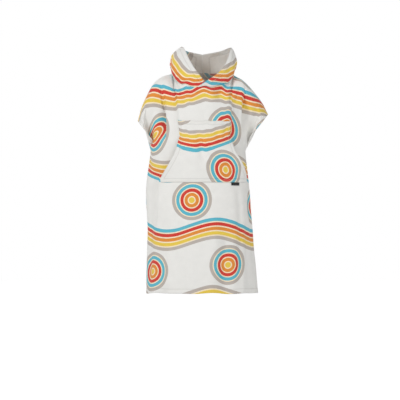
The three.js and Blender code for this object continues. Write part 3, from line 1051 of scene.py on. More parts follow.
@dataclass(frozen=True)
class TowellingFinish:
    """Soft matt towelling with the print, on its right side or faded on its inside."""

    name: str
    fade: float = 0.0
    shift: float = 0.0
    stitch_line: float = 20
    nap: float = 1.0
    roughness: float = 0.9
    pile_roughness: float = 0.02
    specular: float = 0.15
    sheen: float = 0.18
    sheen_roughness: float = 0.6
    plain_colour: tuple[float, float, float, float] = (0.8, 0.78, 0.72, 1.0)

    def material(self, groups: dict[str, bpy.types.NodeTree]) -> bpy.types.Material:
        """Build the material.

        Args:
            groups: The shared node groups by name.

        Returns:
            The cloth's material.
        """
        material = bpy.data.materials.new(self.name)
        material.use_nodes = True
        material.diffuse_color = self.plain_colour
        s = NodeSketch(material.node_tree)
        shader = material.node_tree.nodes["Principled BSDF"]
        cut = s.node("ShaderNodeUVMap", uv_map=CUT_MAP).outputs[0]
        near = s.node("ShaderNodeAttribute", attribute_name=EDGE_NEAR).outputs["Fac"]
        drawn = s.node("ShaderNodeGroup", node_tree=groups["ribbon_print"])
        s.feed(drawn.inputs["Cut"], cut)
        drawn.inputs["Shift"].default_value = self.shift * MM
        pile = s.node("ShaderNodeGroup", node_tree=groups["towelling_nap_and_shade"])
        s.feed(pile.inputs["Cut"], cut)
        sewn = s.node("ShaderNodeGroup", node_tree=groups["seam_pucker_and_shade"])
        s.feed(sewn.inputs["Cut"], cut)
        s.feed(sewn.inputs["Edge Near"], near)
        sewn.inputs["Stitch Line"].default_value = self.stitch_line * MM
        faded = s.blend(self.fade, drawn.outputs["Color"], (*Ink.GROUND.value, 1.0))
        # The print is multiplied by the pile's uneven tone and by painted shade in the loop gaps, the stitch
        # groove and along the edges.
        shade = s.calc("MULTIPLY", pile.outputs["Shade"], sewn.outputs["Shade"])
        tone = s.node("ShaderNodeCombineColor")
        for channel in tone.inputs[:3]:
            s.feed(channel, shade)
        s.feed(shader.inputs["Base Color"], s.blend(1.0, faded, tone.outputs[0], "MULTIPLY"))
        rough = s.calc("MULTIPLY", pile.outputs["Height"], self.pile_roughness)
        s.feed(shader.inputs["Roughness"], s.calc("ADD", self.roughness, rough, clamp=True))
        bump = s.node("ShaderNodeBump")
        bump.inputs["Strength"].default_value = 1.0
        bump.inputs["Distance"].default_value = MM * self.nap
        s.feed(bump.inputs["Height"], s.calc("ADD", pile.outputs["Height"], sewn.outputs["Height"]))
        s.feed(shader.inputs["Normal"], bump.outputs[0])
        shader.inputs["Specular IOR Level"].default_value = self.specular
        shader.inputs["Sheen Weight"].default_value = self.sheen
        shader.inputs["Sheen Roughness"].default_value = self.sheen_roughness
        return material


@dataclass(frozen=True)
class ThreadFinish:
    """Twisted sewing thread."""

    name: str = "sewing_thread"
    colour: tuple[float, float, float] = srgb(244, 240, 228)
    twist_fine: float = 2600.0
    twist_shade: float = 0.72
    twist_depth: float = 0.2
    roughness: float = 0.55
    twist_roughness: float = 0.3

    def material(self) -> bpy.types.Material:
        """Build the thread's material with a fine twist.

        Returns:
            The material.
        """
        material = bpy.data.materials.new(self.name)
        material.use_nodes = True
        s = NodeSketch(material.node_tree)
        shader = material.node_tree.nodes["Principled BSDF"]
        place = s.node("ShaderNodeTexCoord").outputs["Object"]
        twist = s.noise(place, self.twist_fine, 1.0)
        light = (*self.colour, 1.0)
        dark = (*(self.twist_shade * c for c in self.colour), 1.0)
        s.feed(shader.inputs["Base Color"], s.blend(twist, dark, light))
        rough = s.calc("MULTIPLY", twist, self.twist_roughness)
        s.feed(shader.inputs["Roughness"], s.calc("ADD", self.roughness, rough))
        bump = s.node("ShaderNodeBump")
        bump.inputs["Distance"].default_value = self.twist_depth * MM
        s.feed(bump.inputs["Height"], twist)
        s.feed(shader.inputs["Normal"], bump.outputs[0])
        return material


@dataclass(frozen=True)
class TapeFinish:
    """Woven black tape with a fine rib and paler selvedges, left blank."""

    name: str = "woven_black_tape"
    ribs: float = 1800.0
    colour: tuple[float, float, float] = (0.016, 0.016, 0.018)
    weave_shade: float = 0.004
    weave_depth: float = 0.2
    selvedge: float = 0.9
    selvedge_shade: float = 0.02
    roughness: float = 0.55
    weave_roughness: float = 0.08

    def material(self) -> bpy.types.Material:
        """Build the tape's material.

        Returns:
            The material.
        """
        material = bpy.data.materials.new(self.name)
        material.use_nodes = True
        s = NodeSketch(material.node_tree)
        shader = material.node_tree.nodes["Principled BSDF"]
        cut = s.node("ShaderNodeUVMap", uv_map=CUT_MAP).outputs[0]
        parts = s.node("ShaderNodeSeparateXYZ")
        s.feed(parts.inputs[0], cut)
        warp = s.calc("SINE", s.calc("MULTIPLY", parts.outputs[0], self.ribs * math.tau))
        weft = s.calc("SINE", s.calc("MULTIPLY", parts.outputs[1], self.ribs * math.pi))
        weave = s.calc("MULTIPLY", warp, weft)
        near = s.node("ShaderNodeAttribute", attribute_name=EDGE_NEAR).outputs["Fac"]
        selvedge = s.calc("LESS_THAN", near, self.selvedge * MM)
        woven = s.calc("MULTIPLY", weave, self.weave_shade)
        tone = s.calc("ADD", woven, s.calc("MULTIPLY", selvedge, self.selvedge_shade))
        shade = s.node("ShaderNodeCombineColor")
        for channel, base in zip(shade.inputs[:3], self.colour):
            s.feed(channel, s.calc("ADD", tone, base))
        s.feed(shader.inputs["Base Color"], shade.outputs[0])
        rough = s.calc("MULTIPLY", weave, self.weave_roughness)
        s.feed(shader.inputs["Roughness"], s.calc("ADD", self.roughness, rough))
        bump = s.node("ShaderNodeBump")
        bump.inputs["Distance"].default_value = self.weave_depth * MM
        s.feed(bump.inputs["Height"], weave)
        s.feed(shader.inputs["Normal"], bump.outputs[0])
        return material


@dataclass
class StitchRows:
    """Rows of stitches laid on the cloth along lines of points."""

    pitch: float = 4.2
    length: float = 3.3
    width: float = 0.9
    proud: float = 0.12
    material: bpy.types.Material | None = None
    tree: bpy.types.NodeTree | None = None

    def node_tree(self) -> bpy.types.NodeTree:
        """Build the tree that lays a stitch at each step of a line, once.

        Returns:
            The geometry tree with its named inputs.
        """
        if self.tree is not None:
            return self.tree
        tree = bpy.data.node_groups.new("stitch_rows", "GeometryNodeTree")
        tree.interface.new_socket(name="Lines", in_out="INPUT", socket_type="NodeSocketGeometry")
        for name in ("Pitch", "Length", "Width"):
            tree.interface.new_socket(name=name, in_out="INPUT", socket_type="NodeSocketFloat")
        tree.interface.new_socket(name="Thread", in_out="INPUT", socket_type="NodeSocketMaterial")
        tree.interface.new_socket(name="Stitches", in_out="OUTPUT", socket_type="NodeSocketGeometry")
        s = NodeSketch(tree)
        inside, outside = s.node("NodeGroupInput"), s.node("NodeGroupOutput")
        curve = s.node("GeometryNodeMeshToCurve")
        s.feed(curve.inputs["Mesh"], inside.outputs["Lines"])
        even = s.node("GeometryNodeResampleCurve", mode="LENGTH")
        s.feed(even.inputs["Curve"], curve.outputs[0])
        s.feed(even.inputs["Length"], inside.outputs["Pitch"])
        along = s.node("FunctionNodeAlignRotationToVector", axis="X")
        s.feed(along.inputs["Vector"], s.node("GeometryNodeInputTangent").outputs[0])
        out = s.node("GeometryNodeInputNamedAttribute", data_type="FLOAT_VECTOR")
        out.inputs["Name"].default_value = CLOTH_OUT
        flat = s.node("FunctionNodeAlignRotationToVector", axis="Z", pivot_axis="X")
        s.feed(flat.inputs["Rotation"], along.outputs[0])
        s.feed(flat.inputs["Vector"], out.outputs[0])
        bead = s.node("GeometryNodeMeshUVSphere")
        bead.inputs["Segments"].default_value = 6
        bead.inputs["Rings"].default_value = 4
        bead.inputs["Radius"].default_value = 0.5
        soft = s.node("GeometryNodeSetShadeSmooth")
        s.feed(soft.inputs["Geometry"], bead.outputs["Mesh"])
        size = s.node("ShaderNodeCombineXYZ")
        s.feed(size.inputs[0], inside.outputs["Length"])
        s.feed(size.inputs[1], inside.outputs["Width"])
        s.feed(size.inputs[2], inside.outputs["Width"])
        each = s.node("GeometryNodeInstanceOnPoints")
        s.feed(each.inputs["Points"], even.outputs[0])
        s.feed(each.inputs["Instance"], soft.outputs[0])
        s.feed(each.inputs["Rotation"], flat.outputs[0])
        s.feed(each.inputs["Scale"], size.outputs[0])
        real = s.node("GeometryNodeRealizeInstances")
        s.feed(real.inputs[0], each.outputs[0])
        finish = s.node("GeometryNodeSetMaterial")
        s.feed(finish.inputs["Geometry"], real.outputs[0])
        s.feed(finish.inputs["Material"], inside.outputs["Thread"])
        s.feed(outside.inputs[0], finish.outputs[0])
        self.tree = tree
        return tree

    def lay(self, name: str, lines: Lines) -> bpy.types.Object:
        """Lay stitches along lines.

        Args:
            name: The new piece's name.
            lines: For each line its points and the directions out of the cloth, in millimetres.

        Returns:
            One piece holding all the stitches.
        """
        vertices: list[list[float]] = []
        out: list[float] = []
        edges: list[tuple[int, int]] = []
        for points, normals in lines:
            first = len(vertices)
            vertices += (FORM.sweep(points + normals * self.proud) * MM).tolist()
            out += unit(normals).ravel().tolist()
            edges += [(first + k, first + k + 1) for k in range(len(points) - 1)]
        guide = bpy.data.meshes.new(name + "_lines")
        guide.from_pydata(vertices, edges, [])
        guide.attributes.new(CLOTH_OUT, "FLOAT_VECTOR", "POINT").data.foreach_set("vector", out)
        holder = place_object(name + "_lines", guide)
        modifier = holder.modifiers.new("stitches", "NODES")
        modifier.node_group = self.node_tree()
        sizes = {"Pitch": self.pitch * MM, "Length": self.length * MM, "Width": self.width * MM}
        for item in modifier.node_group.interface.items_tree:
            if item.item_type == "SOCKET" and item.in_out == "INPUT" and item.name in sizes:
                modifier[item.identifier] = sizes[item.name]
            if item.item_type == "SOCKET" and item.name == "Thread":
                modifier[item.identifier] = self.material
        graph = bpy.context.evaluated_depsgraph_get()
        mesh = bpy.data.meshes.new_from_object(holder.evaluated_get(graph), depsgraph=graph)
        mesh.name = name
        bpy.data.objects.remove(holder)
        piece = bpy.data.objects.new(name, mesh)
        bpy.context.scene.collection.objects.link(piece)
        return piece


@dataclass(frozen=True)
class Workroom:
    """What cloth pieces are made with: the materials of both sides and the maker of stitch rows."""

    cloth: bpy.types.Material
    inside: bpy.types.Material
    stitches: StitchRows

    def make(
        self, name: str, node: str, grid: ClothGrid, lines: Lines, flat: tuple[float, float], area: float
    ) -> None:
        """Make a cloth piece with its stitches and attach both to the root body.

        Args:
            name: The piece's name.
            node: The solid that it replaces.
            grid: The piece laid out as a grid.
            lines: The lines that its stitches follow.
            flat: Width and height of its flat cut in metres.
            area: The area of its cloth in square metres.
        """
        piece = place_object(name, grid.mesh(name), self.cloth, self.inside)
        sewing = self.stitches.lay(name + "_stitches", lines)
        for made in (piece, sewing):
            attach(made, "root")
        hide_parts(node)
        log.info("%s: cut %.2f by %.2f m, %.3f m2", name, *flat, area)


FRONT_GATHERS = (
    Crease((-126, 1010), (-122, 850), 14, 7.0),
    Crease((-98, 985), (-96, 905), 15, -5.0),
    Crease((-70, 975), (-76, 885), 16, 6.0),
    Crease((-38, 960), (-46, 870), 17, -5.0),
    Crease((-9, 955), (-3, 895), 16, 6.5),
    Crease((27, 960), (33, 880), 18, -6.0),
    Crease((62, 970), (58, 890), 15, 6.5),
    Crease((96, 985), (90, 900), 14, -4.5),
    Crease((128, 1010), (118, 860), 14, 7.5),
)

BACK_GATHERS = (
    Crease((-110, 1015), (-112, 880), 16, 6.0),
    Crease((-62, 1010), (-66, 900), 18, -5.0),
    Crease((-14, 1005), (-10, 890), 15, 5.0),
    Crease((34, 1010), (38, 910), 17, -5.5),
    Crease((84, 1010), (80, 880), 15, 6.0),
    Crease((122, 1015), (126, 900), 13, -4.0),
)

FRONT_CREASES = (
    Crease((-126, 800), (-178, 906), 16, 3.6, 8),
    Crease((128, 800), (182, 900), 16, 3.6, -8),
    Crease((-318, 668), (-232, 812), 24, 7.0, 12),
    Crease((316, 668), (240, 806), 24, 7.0, -12),
    Crease((-345, 640), (-286, 520), 26, 6.0),
    Crease((342, 640), (292, 520), 26, 5.5),
    Crease((-207, 900), (-199, 742), 4, 8.0),
    Crease((209, 902), (215, 800), 4, 8.0),
    Crease((-150, 20), (-134, 430), 24, 9.0, 12),
    Crease((-84, 30), (-92, 300), 22, -5.0, -8),
    Crease((26, 10), (6, 400), 34, -6.0, -14),
    Crease((96, 20), (88, 250), 20, 5.0, 8),
    Crease((170, 40), (152, 470), 24, 8.0, -16),
    Crease((-296, 40), (-284, 480), 24, 8.0),
    Crease((300, 60), (284, 500), 24, 8.0),
    Crease((-120, 446), (44, 458), 13, 1.8, 8),
    Crease((62, 384), (188, 404), 12, 1.6, -6),
    Crease((-384, 700), (-300, 842), 15, 3.2, 8),
    Crease((384, 706), (300, 838), 15, 3.2, -8),
    Crease((-404, 826), (-322, 898), 13, 2.6),
    Crease((402, 840), (328, 900), 13, 2.6),
    Crease((-268, 930), (-204, 860), 15, -3.0),
    Crease((262, 936), (210, 856), 15, -3.0),
)

BACK_CREASES = (
    Crease((-96, 990), (-120, 860), 15, 4.0, 8),
    Crease((0, 985), (-6, 880), 14, 3.0),
    Crease((92, 990), (118, 850), 15, 4.0, -8),
    Crease((-322, 664), (-226, 820), 24, 9.0, 14),
    Crease((322, 664), (226, 820), 24, 9.0, -14),
    Crease((-340, 640), (-270, 500), 24, 8.0),
    Crease((340, 640), (272, 500), 24, 8.0),
    Crease((-286, 40), (-262, 560), 24, 10.0, 10),
    Crease((288, 40), (266, 540), 24, 10.0, -10),
    Crease((-128, 20), (-104, 620), 22, 9.0, 18),
    Crease((-60, 30), (-50, 380), 20, -6.0, -8),
    Crease((138, 20), (118, 560), 22, 9.0, -16),
    Crease((22, 20), (-6, 640), 26, 7.0, 12),
    Crease((-90, 560), (96, 574), 14, 3.0, 10),
    Crease((-390, 700), (-296, 850), 15, 3.2, 8),
    Crease((390, 700), (296, 850), 15, 3.2, -8),
)

POCKET_CREASES = (
    Crease((-34, 760), (-22, 600), 15, 7.0, 6),
    Crease((-8, 690), (6, 590), 12, -3.6, -4),
    Crease((44, 776), (52, 690), 14, 3.0),
    Crease((-86, 782), (-78, 690), 12, 3.6),
    Crease((98, 784), (88, 706), 12, 3.0),
    Crease((-150, 640), (-66, 560), 18, 4.0, 8),
    Crease((156, 640), (76, 556), 20, 4.0, -8),
    Crease((-180, 548), (40, 530), 15, 1.8, 6),
    Crease((60, 540), (190, 552), 13, 1.6, -5),
)

HOOD_CREASES = {
    HoodHalf.RIGHT: (
        Crease((60, 8), (96, 74), 9, 3.0, 4),
        Crease((88, 4), (118, 46), 5, 6.0, 3),
        Crease((118, 0), (138, 92), 11, 3.6, 6),
        Crease((168, 6), (176, 128), 13, 4.4, -5),
        Crease((214, 14), (228, 170), 15, 5.0, 8),
        Crease((262, 20), (268, 210), 17, 5.4, -8),
        Crease((312, 24), (318, 150), 16, 4.0, 6),
        Crease((196, 96), (330, 120), 18, 3.4, 10),
        Crease((150, 60), (250, 84), 14, 2.6, -6),
        Crease((240, 214), (334, 232), 15, -3.0, 5),
    ),
    HoodHalf.LEFT: (
        Crease((52, 6), (84, 62), 9, 2.6, -3),
        Crease((104, 2), (128, 88), 11, 3.4, 5),
        Crease((156, 4), (170, 120), 13, 4.2, 5),
        Crease((206, 12), (212, 160), 15, 5.2, -8),
        Crease((252, 18), (266, 206), 17, 5.0, 8),
        Crease((300, 30), (308, 170), 15, 4.2, -6),
        Crease((184, 84), (320, 126), 18, 3.2, -10),
        Crease((226, 206), (330, 240), 15, -3.0, 5),
    ),
}


def panel_points(panel: Panel, u: Array, v: Array, creases: Sequence[Crease]) -> Array:
    """Give a panel's outer points with its folds, creases and seams.

    Args:
        panel: Front or back.
        u: Places across the cut.
        v: Places up the cut.
        creases: The panel's own creases.

    Returns:
        Points before the sleeves' sweep, with a last axis of three.
    """
    base = FORM.smooth(panel, u, v)
    out = FORM.outward(panel, u, v)
    sink = FORM.fold_depth(panel, u, base[..., 2])
    sewn = seam_distance(panel, u, v)
    for crease in creases:
        sink = sink + crease.sink(u, v)
    sink = sink - SLACK * ripple(u, v, SLACK_SEED + panel.value, SLACK_WAVE)
    sink = sink * ease(np.minimum(sewn, neck_distance(panel, u, v)) / SEAM_FADE)
    sink = sink + GROOVE * np.exp(-((sewn / GROOVE_WIDE) ** 2))
    points = base - out * sink[..., None]
    points[..., 2] += hem_rise(panel, u, v)
    seam = FORM.on_seam(panel, u, v)
    points[..., 1] = np.where(seam, panel.value * SEAM / 2, points[..., 1])
    return points


def hem_rise(panel: Panel, u: Array, v: Array) -> Array:
    """Give how much higher the hem hangs than level, with a little unevenness.

    Args:
        panel: Front or back.
        u: Places across the cut.
        v: Places up the cut.

    Returns:
        The rise in millimetres at each place.
    """
    middle = HEM_RISE if panel is Panel.FRONT else 0.0
    inside = 1 - (u / FORM.side_u) ** 2
    uneven = sum(high * np.sin(u / long + start) for high, long, start in HEM_WAVES)
    return (middle * inside + uneven * np.minimum(1, 4 * np.abs(inside))) * ease(1 - v / HEM_FADE)


def seam_distance(panel: Panel, u: Array, v: Array) -> Array:
    """Give the distance on the cut to the side, underarm and shoulder seams.

    Args:
        panel: Front or back.
        u: Places across the cut.
        v: Places up the cut.

    Returns:
        Distances in millimetres.
    """
    across = np.abs(u)
    beside = (v <= FORM.arm_v) & (across <= FORM.side_u)
    side = np.where(beside, FORM.side_u - across, FAR)
    corner = np.hypot(np.maximum(FORM.side_u - across, 0), v - FORM.arm_v)
    under = np.where(v >= FORM.arm_v, np.where(across >= FORM.side_u, v - FORM.arm_v, corner), FAR)
    over = np.where(across >= FORM.neck_u, FORM.top_v(panel, u) - v, FAR)
    return np.minimum(np.minimum(side, under), over)


def neck_distance(panel: Panel, u: Array, v: Array) -> Array:
    """Give the distance on the cut to the neck's edge."""
    return np.hypot(np.maximum(np.abs(u) - FORM.neck_u, 0), FORM.top_v(panel, u) - v)


def panel_edge(panel: Panel, u: Array, v: Array) -> Array:
    """Give the distance on the cut to the nearest edge of any kind.

    Args:
        panel: Front or back.
        u: Places across the cut.
        v: Places up the cut.

    Returns:
        Distances in millimetres.
    """
    hem = v
    cuff = np.where(v >= FORM.arm_v, FORM.cuff_u - np.abs(u), FAR)
    neck = np.where(np.abs(u) <= FORM.neck_u, FORM.top_v(panel, u) - v, FAR)
    return np.minimum(np.minimum(hem, cuff), np.minimum(neck, seam_distance(panel, u, v)))


@dataclass
class BodyPanel:
    """Front or back, cut in one with its half of both sleeves."""

    panel: Panel
    name: str
    node: str
    creases: Sequence[Crease]
    gathers: Sequence[Crease]
    print_u: float
    hem: float = 22
    hem_raise: float = 0.7
    folds_to: float = 262
    print_sag: float = 1.1
    stitch_end: float = 3

    def columns(self) -> Array:
        """Give the places across the cut, closest at folds, seams and cuffs.

        Returns:
            Places from one cuff to the other.
        """
        near_side = FORM.side_u - 8
        near_cuff = FORM.cuff_u - 26
        half = steps(
            (0, FORM.neck_u, 5.6),
            (FORM.neck_u, self.folds_to, 3.2),
            (self.folds_to, near_side, 5.8),
            (near_side, FORM.side_u, 2),
            (FORM.side_u, near_cuff, 6),
            (near_cuff, FORM.cuff_u, 2.6),
        )
        return np.concatenate((-half[:0:-1], half))

    def lower_rows(self) -> Array:
        """Give the heights on the cut from the hem to the underarm."""
        return steps((0, 30, 2.6), (30, FORM.arm_v, 6.4))

    def hem_lift(self, u: Array, v: Array) -> Array:
        """Give how far the doubled cloth of hem and cuffs stands out.

        Args:
            u: Places across the cut.
            v: Places up the cut.

        Returns:
            Distances in millimetres.
        """
        cuff = np.where(v >= FORM.arm_v, FORM.cuff_u - np.abs(u), FAR)
        from_edge = np.minimum(v, cuff)
        return self.hem_raise * ease((self.hem + 3 - from_edge) / 3)

    def grid(self) -> ClothGrid:
        """Lay the panel out as a grid.

        Returns:
            The panel's cloth grid.
        """
        columns = self.columns()
        low = self.lower_rows()
        share = steps((0, 0.94, 0.0185), (0.94, 1, 0.008))
        low_count = len(low)
        u = np.tile(columns, (low_count + len(share) - 1, 1))
        top = FORM.top_v(self.panel, columns)
        upper = FORM.arm_v + share[1:, None] * (top - FORM.arm_v)[None, :]
        v = np.concatenate((np.tile(low[:, None], (1, len(columns))), upper))
        points = panel_points(self.panel, u, v, (*self.creases, *self.gathers))
        body = np.abs(columns) <= FORM.side_u + TINY
        first, last = np.flatnonzero(body)[[0, -1]]
        sign = -self.panel.value
        out = np.zeros_like(points)
        out[:low_count, first : last + 1] = grid_normals(points[:low_count, first : last + 1], sign)
        above = grid_normals(points[low_count - 1 :], sign)
        shared = out[low_count - 1].copy()
        out[low_count - 1 :] = above
        out[low_count - 1] = unit(shared + above[0])
        seam = FORM.on_seam(self.panel, u, v)
        flat = FORM.outward(self.panel, u, v)
        out = np.where(seam[..., None], flat, out)
        neck = np.abs(columns) <= FORM.neck_u + TINY
        out[-1, neck] = FORM.neck_out(self.panel, columns[neck] / FORM.neck_u)
        points = points + out * self.hem_lift(u, v)[..., None]
        points[..., 1] = np.where(seam, self.panel.value * SEAM / 2, points[..., 1])
        filled = np.ones((len(v) - 1, len(columns) - 1), dtype=bool)
        filled[: low_count - 1, :first] = False
        filled[: low_count - 1, last:] = False
        turned = (v < TINY) | (np.abs(u) > FORM.cuff_u - TINY)
        edge = panel_edge(self.panel, u, v)
        return ClothGrid(points, out, self.cut(points, u, v), edge, filled, turned.astype(float))

    def cut(self, points: Array, u: Array, v: Array) -> Array:
        """Give each point's place on the flat cloth, measured along the cloth.

        Args:
            points: The grid of outer points.
            u: Places across the cut.
            v: Places up the cut.

        Returns:
            Places across and up, with a last axis of two.
        """
        across = along(points, 1)
        across = across - across[:, [u.shape[1] // 2]]
        low_count = len(self.lower_rows())
        climb = along(points[low_count - 1 :], 0)
        up = v.copy()
        up[low_count - 1 :] = mix(FORM.arm_v, FORM.top_v(self.panel, u[:1]), climb / climb[-1:])
        sag = sum(gather.sink(u, v) for gather in self.gathers)
        return np.stack((across + self.print_u, up - self.print_sag * sag), axis=-1)

    def line(self, u: Array, v: Array) -> tuple[Array, Array]:
        """Give a line on the outer face for stitches, with its directions out.

        Args:
            u: Places across the cut.
            v: Places up the cut.

        Returns:
            Points and unit vectors.
        """
        lift = self.hem_lift(u, v)[..., None]
        out = FORM.outward(self.panel, u, v)
        return panel_points(self.panel, u, v, (*self.creases, *self.gathers)) + out * lift, out

    def stitch_lines(self) -> Lines:
        """Give the lines of the hem and of both cuffs.

        Returns:
            Points and directions out of each line.
        """
        across = np.linspace(-FORM.side_u + self.stitch_end, FORM.side_u - self.stitch_end, 240)
        lines = [self.line(across, np.full_like(across, self.hem - 2))]
        for side in (-1, 1):
            at = side * (FORM.cuff_u - self.hem + 2)
            top = float(FORM.top_v(self.panel, np.array(at)))
            up = np.linspace(FORM.arm_v + self.stitch_end, top - self.stitch_end, 100)
            lines.append(self.line(np.full_like(up, at), up))
        return lines

    def build(self, workroom: Workroom) -> None:
        """Args:
            workroom: What cloth pieces are made with.
        """
        grid = self.grid()
        lines = self.stitch_lines()
        width, height = 2 * FORM.cuff_u * MM, FORM.neck_v * MM
        workroom.make(self.name, self.node, grid, lines, (width, height), grid.flat_area())


@dataclass
class KangarooPocket:
    """The patch pocket on the front, with two slanted mouths."""

    name: str = "printed_pocket"
    node: str = "pocket"
    low: float = 222
    top: float = 124
    v0: float = 508
    v_slant: float = 522
    v_top: float = 715
    v1: float = 787
    room_middle: float = 17
    room_mouth: float = 27
    mouth_bend: float = 14
    slack: float = 0.9
    slack_wave: float = 110
    slack_seed: int = 23
    crease_fade: float = 40
    groove: float = 0.2
    groove_wide: float = 3.0
    seam_near: float = 4
    seam_far: float = 10
    hem: float = 16
    hem_raise: float = 0.6
    print_u: float = -75
    print_sag: float = 0.9

    def half_width(self, v: Array) -> Array:
        """Give the pocket's half width at a height."""
        t = np.clip((v - self.v_slant) / (self.v_top - self.v_slant), 0, 1)
        return mix(self.low, self.top, t) - self.mouth_bend * np.sin(math.pi * t)

    def room(self, q: Array, v: Array) -> Array:
        """Give how far the pocket stands off the front.

        Args:
            q: Places across, from -1 to 1.
            v: Places up the cut.

        Returns:
            Distances in millimetres.
        """
        p = np.clip((v - self.v0) / (self.v1 - self.v0), 0, 1)
        mouth = np.clip((v - self.v0) / (self.v_top - self.v0), 0, 1)
        centre = self.room_middle * np.sin(math.pi * p)
        return mix(centre, self.room_mouth * np.sin(math.pi * mouth), q**4)

    def points(self, q: Array, v: Array) -> tuple[Array, Array]:
        """Give outer points and directions out.

        Args:
            q: Places across, from -1 to 1.
            v: Places up the cut.

        Returns:
            Points and unit vectors.
        """
        u = q * self.half_width(v)
        out = FORM.outward(Panel.FRONT, u, v)
        base = panel_points(Panel.FRONT, u, v, (*FRONT_CREASES, *FRONT_GATHERS))
        free = ease((v - self.v0) / self.crease_fade) * ease((self.v1 - v) / self.crease_fade)
        sink = sum(crease.sink(u, v) for crease in POCKET_CREASES) * free
        sink = sink - self.slack * ripple(u, v, self.slack_seed, self.slack_wave) * free
        off = np.maximum(CLOTH + PATCH_SEAM + self.room(q, v) - sink, CLOTH + PATCH_SEAM)
        sewn = np.minimum(v - self.v0, self.v1 - v)
        off = off - self.groove * np.exp(-((sewn / self.groove_wide) ** 2))
        return base + out * off[..., None], out

    def edge(self, q: Array, v: Array) -> Array:
        """Give the distance on the cut to the pocket's nearest edge."""
        side = (1 - np.abs(q)) * self.half_width(v)
        return np.minimum(side, np.minimum(v - self.v0, self.v1 - v))

    def grid(self) -> ClothGrid:
        """Lay the pocket out as a grid.

        Returns:
            The pocket's cloth grid.
        """
        half = steps((0, 0.86, 0.026), (0.86, 1, 0.012))
        across = np.concatenate((-half[:0:-1], half))
        up = steps(
            (self.v0, self.v0 + 20, 2.4),
            (self.v0 + 20, self.v1 - 20, 5.2),
            (self.v1 - 20, self.v1, 2.4),
        )
        q, v = np.meshgrid(across, up)
        points, _ = self.points(q, v)
        out = grid_normals(points, 1)
        u = q * self.half_width(v)
        side = (1 - np.abs(q)) * self.half_width(v)
        lift = self.hem_raise * ease((self.hem + 3 - side) / 3)
        points = points + out * lift[..., None]
        free_edge = (np.abs(q) > 1 - TINY).astype(float)
        sewn_edge = ((v < self.v0 + TINY) | (v > self.v1 - TINY)).astype(float)
        filled = np.ones((len(up) - 1, len(across) - 1), dtype=bool)
        sag = self.print_sag * sum(crease.sink(u, v) for crease in POCKET_CREASES)
        cut = np.stack((u + self.print_u, v - sag), axis=-1)
        return ClothGrid(points, out, cut, self.edge(q, v), filled, np.maximum(free_edge, sewn_edge * 0.8))

    def stitch_lines(self) -> Lines:
        """Give the lines along top, bottom, short sides and mouths.

        Returns:
            Points and directions out of each line.
        """
        lines = []
        across = np.linspace(-1, 1, 160)
        near, far = self.seam_near, self.seam_far
        for v in (self.v1 - near, self.v1 - far, self.v0 + near, self.v0 + far):
            level = np.full_like(across, v)
            inset = 1 - near / self.half_width(level)
            lines.append(self.points(across * inset, level))
        for side in (-1, 1):
            up = np.linspace(self.v0 + 12, self.v1 - 12, 110)
            q = side * (1 - self.hem / self.half_width(up))
            points, out = self.points(q, up)
            lines.append((points + out * 0.5, out))
        return lines

    def build(self, workroom: Workroom) -> None:
        """Args:
            workroom: What cloth pieces are made with.
        """
        grid = self.grid()
        lines = self.stitch_lines()
        size = (2 * self.low * MM, (self.v1 - self.v0) * MM)
        workroom.make(self.name, self.node, grid, lines, size, grid.flat_area())


@dataclass
class LabelTab:
    """The blank woven tab that hangs from the pocket's lower seam."""

    name: str = "blank_label_tab"
    node: str = "label_tab"
    u: float = 131
    wide: float = 55
    high: float = 13
    cloth: float = 1.2
    top: float = 507
    curl: float = 0.5
    curl_wave: float = 7

    def build(self, tape: bpy.types.Material) -> None:
        """Args:
            tape: The tape's material.
        """
        across = np.linspace(-0.5, 0.5, 29) * self.wide
        up = np.linspace(self.top - self.high, self.top, 13)
        du, v = np.meshgrid(across, up)
        base = panel_points(Panel.FRONT, self.u + du, v, (*FRONT_CREASES, *FRONT_GATHERS))
        out = FORM.outward(Panel.FRONT, self.u + du, v)
        free = (self.top - v) / self.high
        stand = self.cloth + PATCH_SEAM + self.curl * free * (1 + np.sin(du / self.curl_wave))
        points = base + out * stand[..., None]
        edge = np.minimum(self.wide / 2 - np.abs(du), v - self.top + self.high)
        filled = np.ones((len(up) - 1, len(across) - 1), dtype=bool)
        cut = np.stack((du, v), axis=-1)
        grid = ClothGrid(points, grid_normals(points, 1), cut, edge, filled, np.ones_like(v), self.cloth)
        piece = place_object(self.name, grid.mesh(self.name), tape, tape)
        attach(piece, "root")
        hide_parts(self.node)
        log.info("%s made", self.name)


